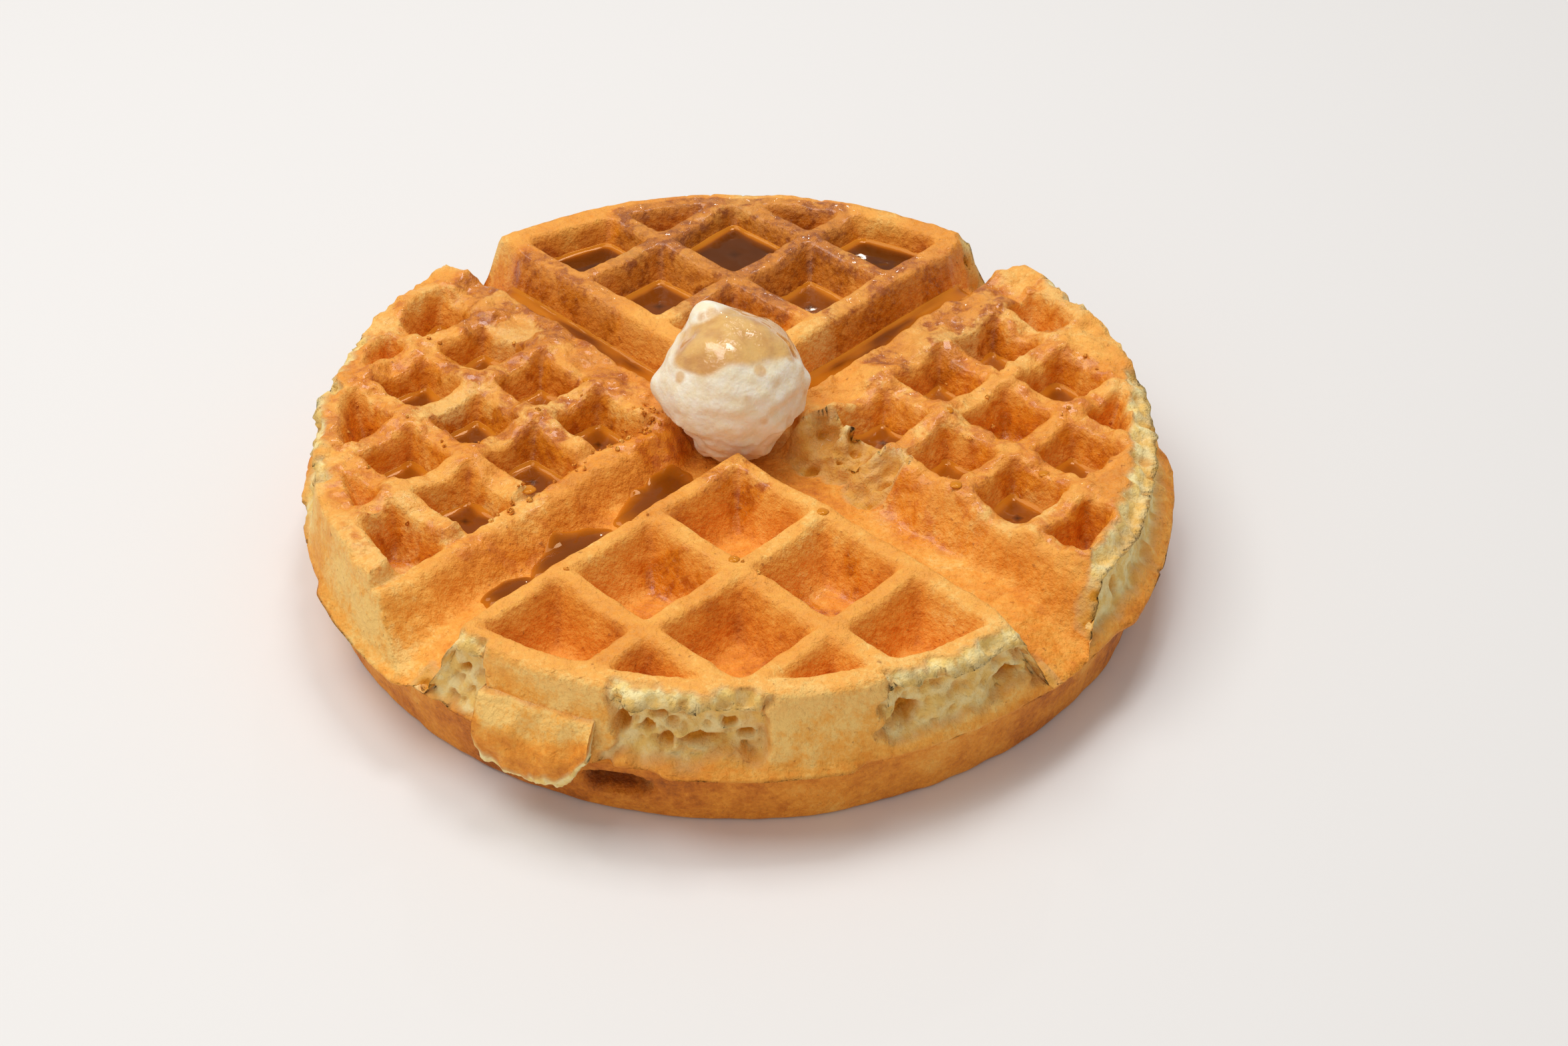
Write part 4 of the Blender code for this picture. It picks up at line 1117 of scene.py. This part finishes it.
def butter_scoop():
    turns = round_turns(BUTTER_SIDES)
    tilt = np.pi * np.arange(1, BUTTER_RINGS) / BUTTER_RINGS
    ring = np.stack([np.outer(np.sin(tilt), np.cos(turns)), np.outer(np.sin(tilt), np.sin(turns)),
                     np.outer(np.cos(tilt), np.ones(BUTTER_SIDES))], axis=-1).reshape(-1, 3)
    spot = np.concatenate([[[0.0, 0.0, 1.0]], ring, [[0.0, 0.0, -1.0]]])
    swell = 1.0 + 0.022 * np.sin(5.0 * spot[:, 0] + 3.0 * spot[:, 2]) + 0.016 * np.sin(
        9.0 * spot[:, 1] + 4.0 * spot[:, 0])
    for knob, rise, tightness in BUTTER_KNOBS:
        knob = np.array(knob) / np.linalg.norm(knob)
        swell += rise * np.exp(-tightness * ((spot - knob) ** 2).sum(axis=1))
    place = spot * (BUTTER_RADIUS * swell)[:, None]
    lower = fade(4.0, -8.0, place[:, 2])
    streak = spot * np.array([16.0, 16.0, 34.0])
    folds = 0.36 * soft_noise(streak, 5.0, 131) + 0.16 * soft_noise(place, 2.2, 132)
    folds += lower * relief(place, BUTTER_CURDS)
    place += spot * folds[:, None] + BUTTER_CENTRE
    floor = CHANNEL_FLOOR - 0.4
    height = np.maximum(place[:, 2], floor)
    part = np.clip((height - floor) / (BUTTER_FREE_HEIGHT - floor), 0.0, 1.0)
    limit = (CHANNEL_HALF + part * (MOUTH - CHANNEL_HALF)) * math.sqrt(2.0) - BUTTER_CLEARANCE
    limit = np.where(place[:, 2] < BUTTER_FREE_HEIGHT, limit, np.inf)
    limit = limit + 1.2 * soft_noise(place, 3.0, 135)
    reach = np.hypot(place[:, 0], place[:, 1])
    place[:, :2] *= np.minimum(1.0, limit / np.maximum(reach, 0.01))[:, None]
    place[:, 2] = height
    faces = [face[:, ::-1] for face in disc_faces(BUTTER_RINGS - 1, BUTTER_SIDES)]
    piece = make_mesh("butter", place, faces, {})
    ball = spot * FILM_BALL_RADIUS
    from_knob = np.linalg.norm(spot - np.array(BUTTER_KNOBS[0][0]), axis=1)
    knob_top = fade(0.42, 0.26, from_knob + 0.05 * soft_noise(ball, 3.0, 138))
    crown = fade(0.56, 0.66, spot[:, 2] + 0.16 * soft_noise(ball, 6.0, 136) + 0.08 * spot[:, 1])
    drips = 0.7 * fade(0.26, 0.14, air_holes(ball, 7.0, 139)) * fade(-0.3, 0.1, spot[:, 2])
    crown = np.maximum(crown * (1.0 - knob_top), drips)
    set_values(piece, film=crown)
    return piece


def butter_finish():
    """Off-white whipped butter with fine air holes, under a glossy amber film where syrup covers it."""
    butter = Finish("whipped butter")
    film = butter.number("film")
    cream = butter.blend(butter.noise(3.0).stretch(0.3, 0.7), colour(252, 245, 226), colour(247, 233, 198))
    amber = butter.blend(butter.noise(5.0).stretch(0.35, 0.7), colour(230, 176, 84), colour(204, 138, 46))
    shade = butter.blend(film * 0.9, cream, amber)
    relief = butter.bump(butter.noise(0.8, 3.0), 0.25, 0.6, butter.bump(butter.noise(2.4, 2.0), 0.5, 0.5))
    return butter.finish(base_color=shade, roughness=0.42 - film * 0.3, normal=relief, coat_weight=film * 0.8,
                         coat_roughness=0.05, subsurface_weight=0.15, subsurface_scale=0.004,
                         subsurface_radius=(1.0, 0.7, 0.4))


butter = butter_scoop()
butter.data.materials.append(butter_finish())
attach(butter, "root")
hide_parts("butter_scoop")


# Crumbs and beads: loose grains of crust on the ragged ridges and beside the torn corner, and drops of
# syrup on the ridges. Both kinds are lumps that one tree of Geometry Nodes sets on places.

FULL_TURN = 6.28
CRUMB_REACH = 83.0

# Where crumbs lie: range along the lattice, range across it, and how many
CRUMB_ZONES = (
    ((-14.0, -10.5), (12.0, 60.0), 46), ((-18.0, -10.0), (9.0, 20.0), 20),
    ((-70.0, -12.0), (12.0, 70.0), 24), ((14.0, 70.0), (-70.0, -14.0), 30), ((10.0, 76.0), (10.0, 76.0), 8),
)

# Where beads of syrup lie, along and across the lattice
BEADS = (
    (33.8, 34.8), (-13.0, 46.0), (-31.0, 13.5), (49.0, -13.0), (31.5, -31.0), (36.0, 12.2), (58.0, -30.0),
)


def lump_tree(name, material):
    """Geometry Nodes that set an uneven lump on each point, with inputs for size, height, turn and seed."""
    tree = bpy.data.node_groups.new(name, "GeometryNodeTree")
    face = tree.interface
    face.new_socket("Geometry", in_out="INPUT", socket_type="NodeSocketGeometry")
    for title, kind in (("Least size", "NodeSocketFloat"), ("Most size", "NodeSocketFloat"),
                        ("Height share", "NodeSocketFloat"), ("Most turn", "NodeSocketVector"),
                        ("Dents", "NodeSocketVector"), ("Seed", "NodeSocketInt")):
        face.new_socket(title, in_out="INPUT", socket_type=kind)
    face.new_socket("Geometry", in_out="OUTPUT", socket_type="NodeSocketGeometry")

    def add(kind, settings, sockets):
        made = tree.nodes.new(kind)
        for title, setting in settings.items():
            setattr(made, title, setting)
        for title, value in sockets.items():
            if isinstance(value, bpy.types.NodeSocket):
                tree.links.new(value, made.inputs[title])
            else:
                made.inputs[title].default_value = value
        return made.outputs

    given = add("NodeGroupInput", {}, {})
    ball = add("GeometryNodeMeshIcoSphere", {}, {"Radius": 1.0, "Subdivisions": 3})["Mesh"]
    dents = add("ShaderNodeTexNoise", {}, {"Scale": 1.6, "Detail": 3.0})["Color"]
    dents = add("ShaderNodeVectorMath", {"operation": "SUBTRACT"}, {0: dents, 1: (0.5, 0.5, 0.5)})["Vector"]
    dents = add("ShaderNodeVectorMath", {"operation": "MULTIPLY"}, {0: dents, 1: given["Dents"]})["Vector"]
    ball = add("GeometryNodeSetPosition", {}, {"Geometry": ball, "Offset": dents})["Geometry"]
    ball = add("GeometryNodeSetShadeSmooth", {}, {"Geometry": ball})["Geometry"]
    spots = add("GeometryNodeMeshToPoints", {}, {"Mesh": given["Geometry"]})["Points"]
    size = add("FunctionNodeRandomValue", {"data_type": "FLOAT"},
               {2: given["Least size"], 3: given["Most size"], "Seed": given["Seed"]})[1]
    turn = add("FunctionNodeRandomValue", {"data_type": "FLOAT_VECTOR"},
               {1: given["Most turn"], "Seed": given["Seed"]})[0]
    low = add("ShaderNodeMath", {"operation": "MULTIPLY"}, {0: size, 1: given["Height share"]})[0]
    scale = add("ShaderNodeCombineXYZ", {}, {"X": size, "Y": size, "Z": low})["Vector"]
    lumps = add("GeometryNodeInstanceOnPoints", {}, {"Points": spots, "Instance": ball, "Rotation": turn,
                                                     "Scale": scale})["Instances"]
    lumps = add("GeometryNodeRealizeInstances", {}, {"Geometry": lumps})["Geometry"]
    lumps = add("GeometryNodeSetMaterial", {}, {"Geometry": lumps, "Material": material})["Geometry"]
    add("NodeGroupOutput", {}, {"Geometry": lumps})
    return tree


def scatter(name, places, material, **sizes):
    """Plain mesh of lumps, one at each place."""
    carrier = make_mesh(f"{name}_places", places, [], {})
    modifier = carrier.modifiers.new("lumps", "NODES")
    modifier.node_group = lump_tree(name, material)
    for socket in modifier.node_group.interface.items_tree:
        title = socket.name.replace(" ", "_").lower()
        if title in sizes:
            modifier[socket.identifier] = sizes[title]
    seen = carrier.evaluated_get(bpy.context.evaluated_depsgraph_get())
    mesh = bpy.data.meshes.new_from_object(seen)
    bpy.data.objects.remove(carrier)
    piece = bpy.data.objects.new(name, mesh)
    bpy.context.collection.objects.link(piece)
    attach(piece, "root")
    return piece


rng = np.random.default_rng(11)
spots = []
for along_range, across_range, count in CRUMB_ZONES:
    along, across = rng.uniform(*along_range, count), rng.uniform(*across_range, count)
    spots.append(along[:, None] * ALONG + across[:, None] * ACROSS)
spots = np.concatenate(spots)
spots = spots[np.hypot(spots[:, 0], spots[:, 1]) < CRUMB_REACH]
spots = with_height(spots, moulded_height(spots) + 0.1)
crumbs = scatter("loose_crumbs", spots, crust_material, least_size=0.22 * MM, most_size=0.62 * MM,
                 height_share=0.7, most_turn=(FULL_TURN, FULL_TURN, FULL_TURN), dents=(2.2, 2.2, 2.2), seed=3)
set_values(crumbs, bake=EVEN_BAKE + 0.3 * soft_noise(mesh_points(crumbs), 3.0, 141))

beads = np.array(BEADS)
spots = beads[:, :1] * ALONG + beads[:, 1:2] * ACROSS
spots = with_height(spots, moulded_height(spots) + 0.05)
beads = scatter("syrup_beads", spots, syrup_material, least_size=0.7 * MM, most_size=1.4 * MM,
                height_share=0.35, most_turn=(0.0, 0.0, FULL_TURN), dents=(0.7, 0.7, 0.3), seed=5)


# The floor: a plain pale flat table top, in metres, which isn't part of the object. It lies just under the
# waffle, so that the two don't share a plane.

FLOOR_HALF = 2.4
FLOOR_LEVEL = -0.0002
floor_mesh = bpy.data.meshes.new("floor")
corners = [(x * FLOOR_HALF, y * FLOOR_HALF, FLOOR_LEVEL) for x, y in ((-1, -1), (1, -1), (1, 1), (-1, 1))]
floor_mesh.from_pydata(corners, [], [(0, 1, 2, 3)])
floor = bpy.data.objects.new("floor", floor_mesh)
bpy.context.collection.objects.link(floor)
floor_finish = Finish("pale floor")
floor.data.materials.append(floor_finish.finish(base_color=colour(232, 230, 228), roughness=0.6))


# Light: soft daylight from a large window and the sky above, a weak fill from the front, and a small lamp
# behind that puts glints on the syrup. Places and sizes are in metres.

def soft_light(name, place, size, power, tint):
    lamp = bpy.data.lights.new(name, "AREA")
    lamp.shape = "SQUARE"
    lamp.size = size
    lamp.energy = power
    lamp.color = tint
    holder = bpy.data.objects.new(name, lamp)
    holder.location = place
    holder.rotation_euler = (-Vector(place)).to_track_quat("-Z", "Y").to_euler()
    bpy.context.collection.objects.link(holder)


soft_light("window", (-0.45, 0.10, 1.10), 0.75, 7.3, (1.0, 0.99, 0.98))
soft_light("sky", (0.15, 0.50, 1.25), 0.35, 4.4, (0.98, 0.98, 1.0))
soft_light("fill", (-0.60, -1.0, 0.65), 1.2, 2.4, (1.0, 0.96, 0.88))
soft_light("glint", (0.04, 0.90, 0.58), 0.03, 0.16, (1.0, 1.0, 1.0))
world = bpy.context.scene.world or bpy.data.worlds.new("world")
bpy.context.scene.world = world
world.use_nodes = True
world.node_tree.nodes["Background"].inputs["Color"].default_value = (1.0, 0.98, 0.95, 1.0)
world.node_tree.nodes["Background"].inputs["Strength"].default_value = 0.40
bpy.context.scene.view_settings.view_transform = "Standard"


# Camera: the photograph's own place and lens, worked out from the lattice of ridges. It looks forwards and
# down, and is turned a little about its own axis. Its place is in metres.

CAMERA_PLACE = (0.01019, -0.39167, 0.32027)
CAMERA_PITCH = math.radians(39.12)
CAMERA_ROLL = math.radians(0.55)
FOCAL_LENGTH = 53.617
lens = bpy.data.cameras.new("camera")
lens.lens = FOCAL_LENGTH
lens.sensor_width = 36.0
lens.clip_start = 0.01
camera = bpy.data.objects.new("camera", lens)
forward = Vector((0.0, math.cos(CAMERA_PITCH), -math.sin(CAMERA_PITCH)))
level_right = Vector((1.0, 0.0, 0.0))
level_up = level_right.cross(forward)
right = level_right * math.cos(CAMERA_ROLL) + level_up * math.sin(CAMERA_ROLL)
up = level_up * math.cos(CAMERA_ROLL) - level_right * math.sin(CAMERA_ROLL)
turned = Matrix((right, up, -forward)).transposed().to_4x4()
turned.translation = Vector(CAMERA_PLACE) + Vector(FRAME_SHIFT) * MM
camera.matrix_world = turned
bpy.context.collection.objects.link(camera)
bpy.context.scene.camera = camera
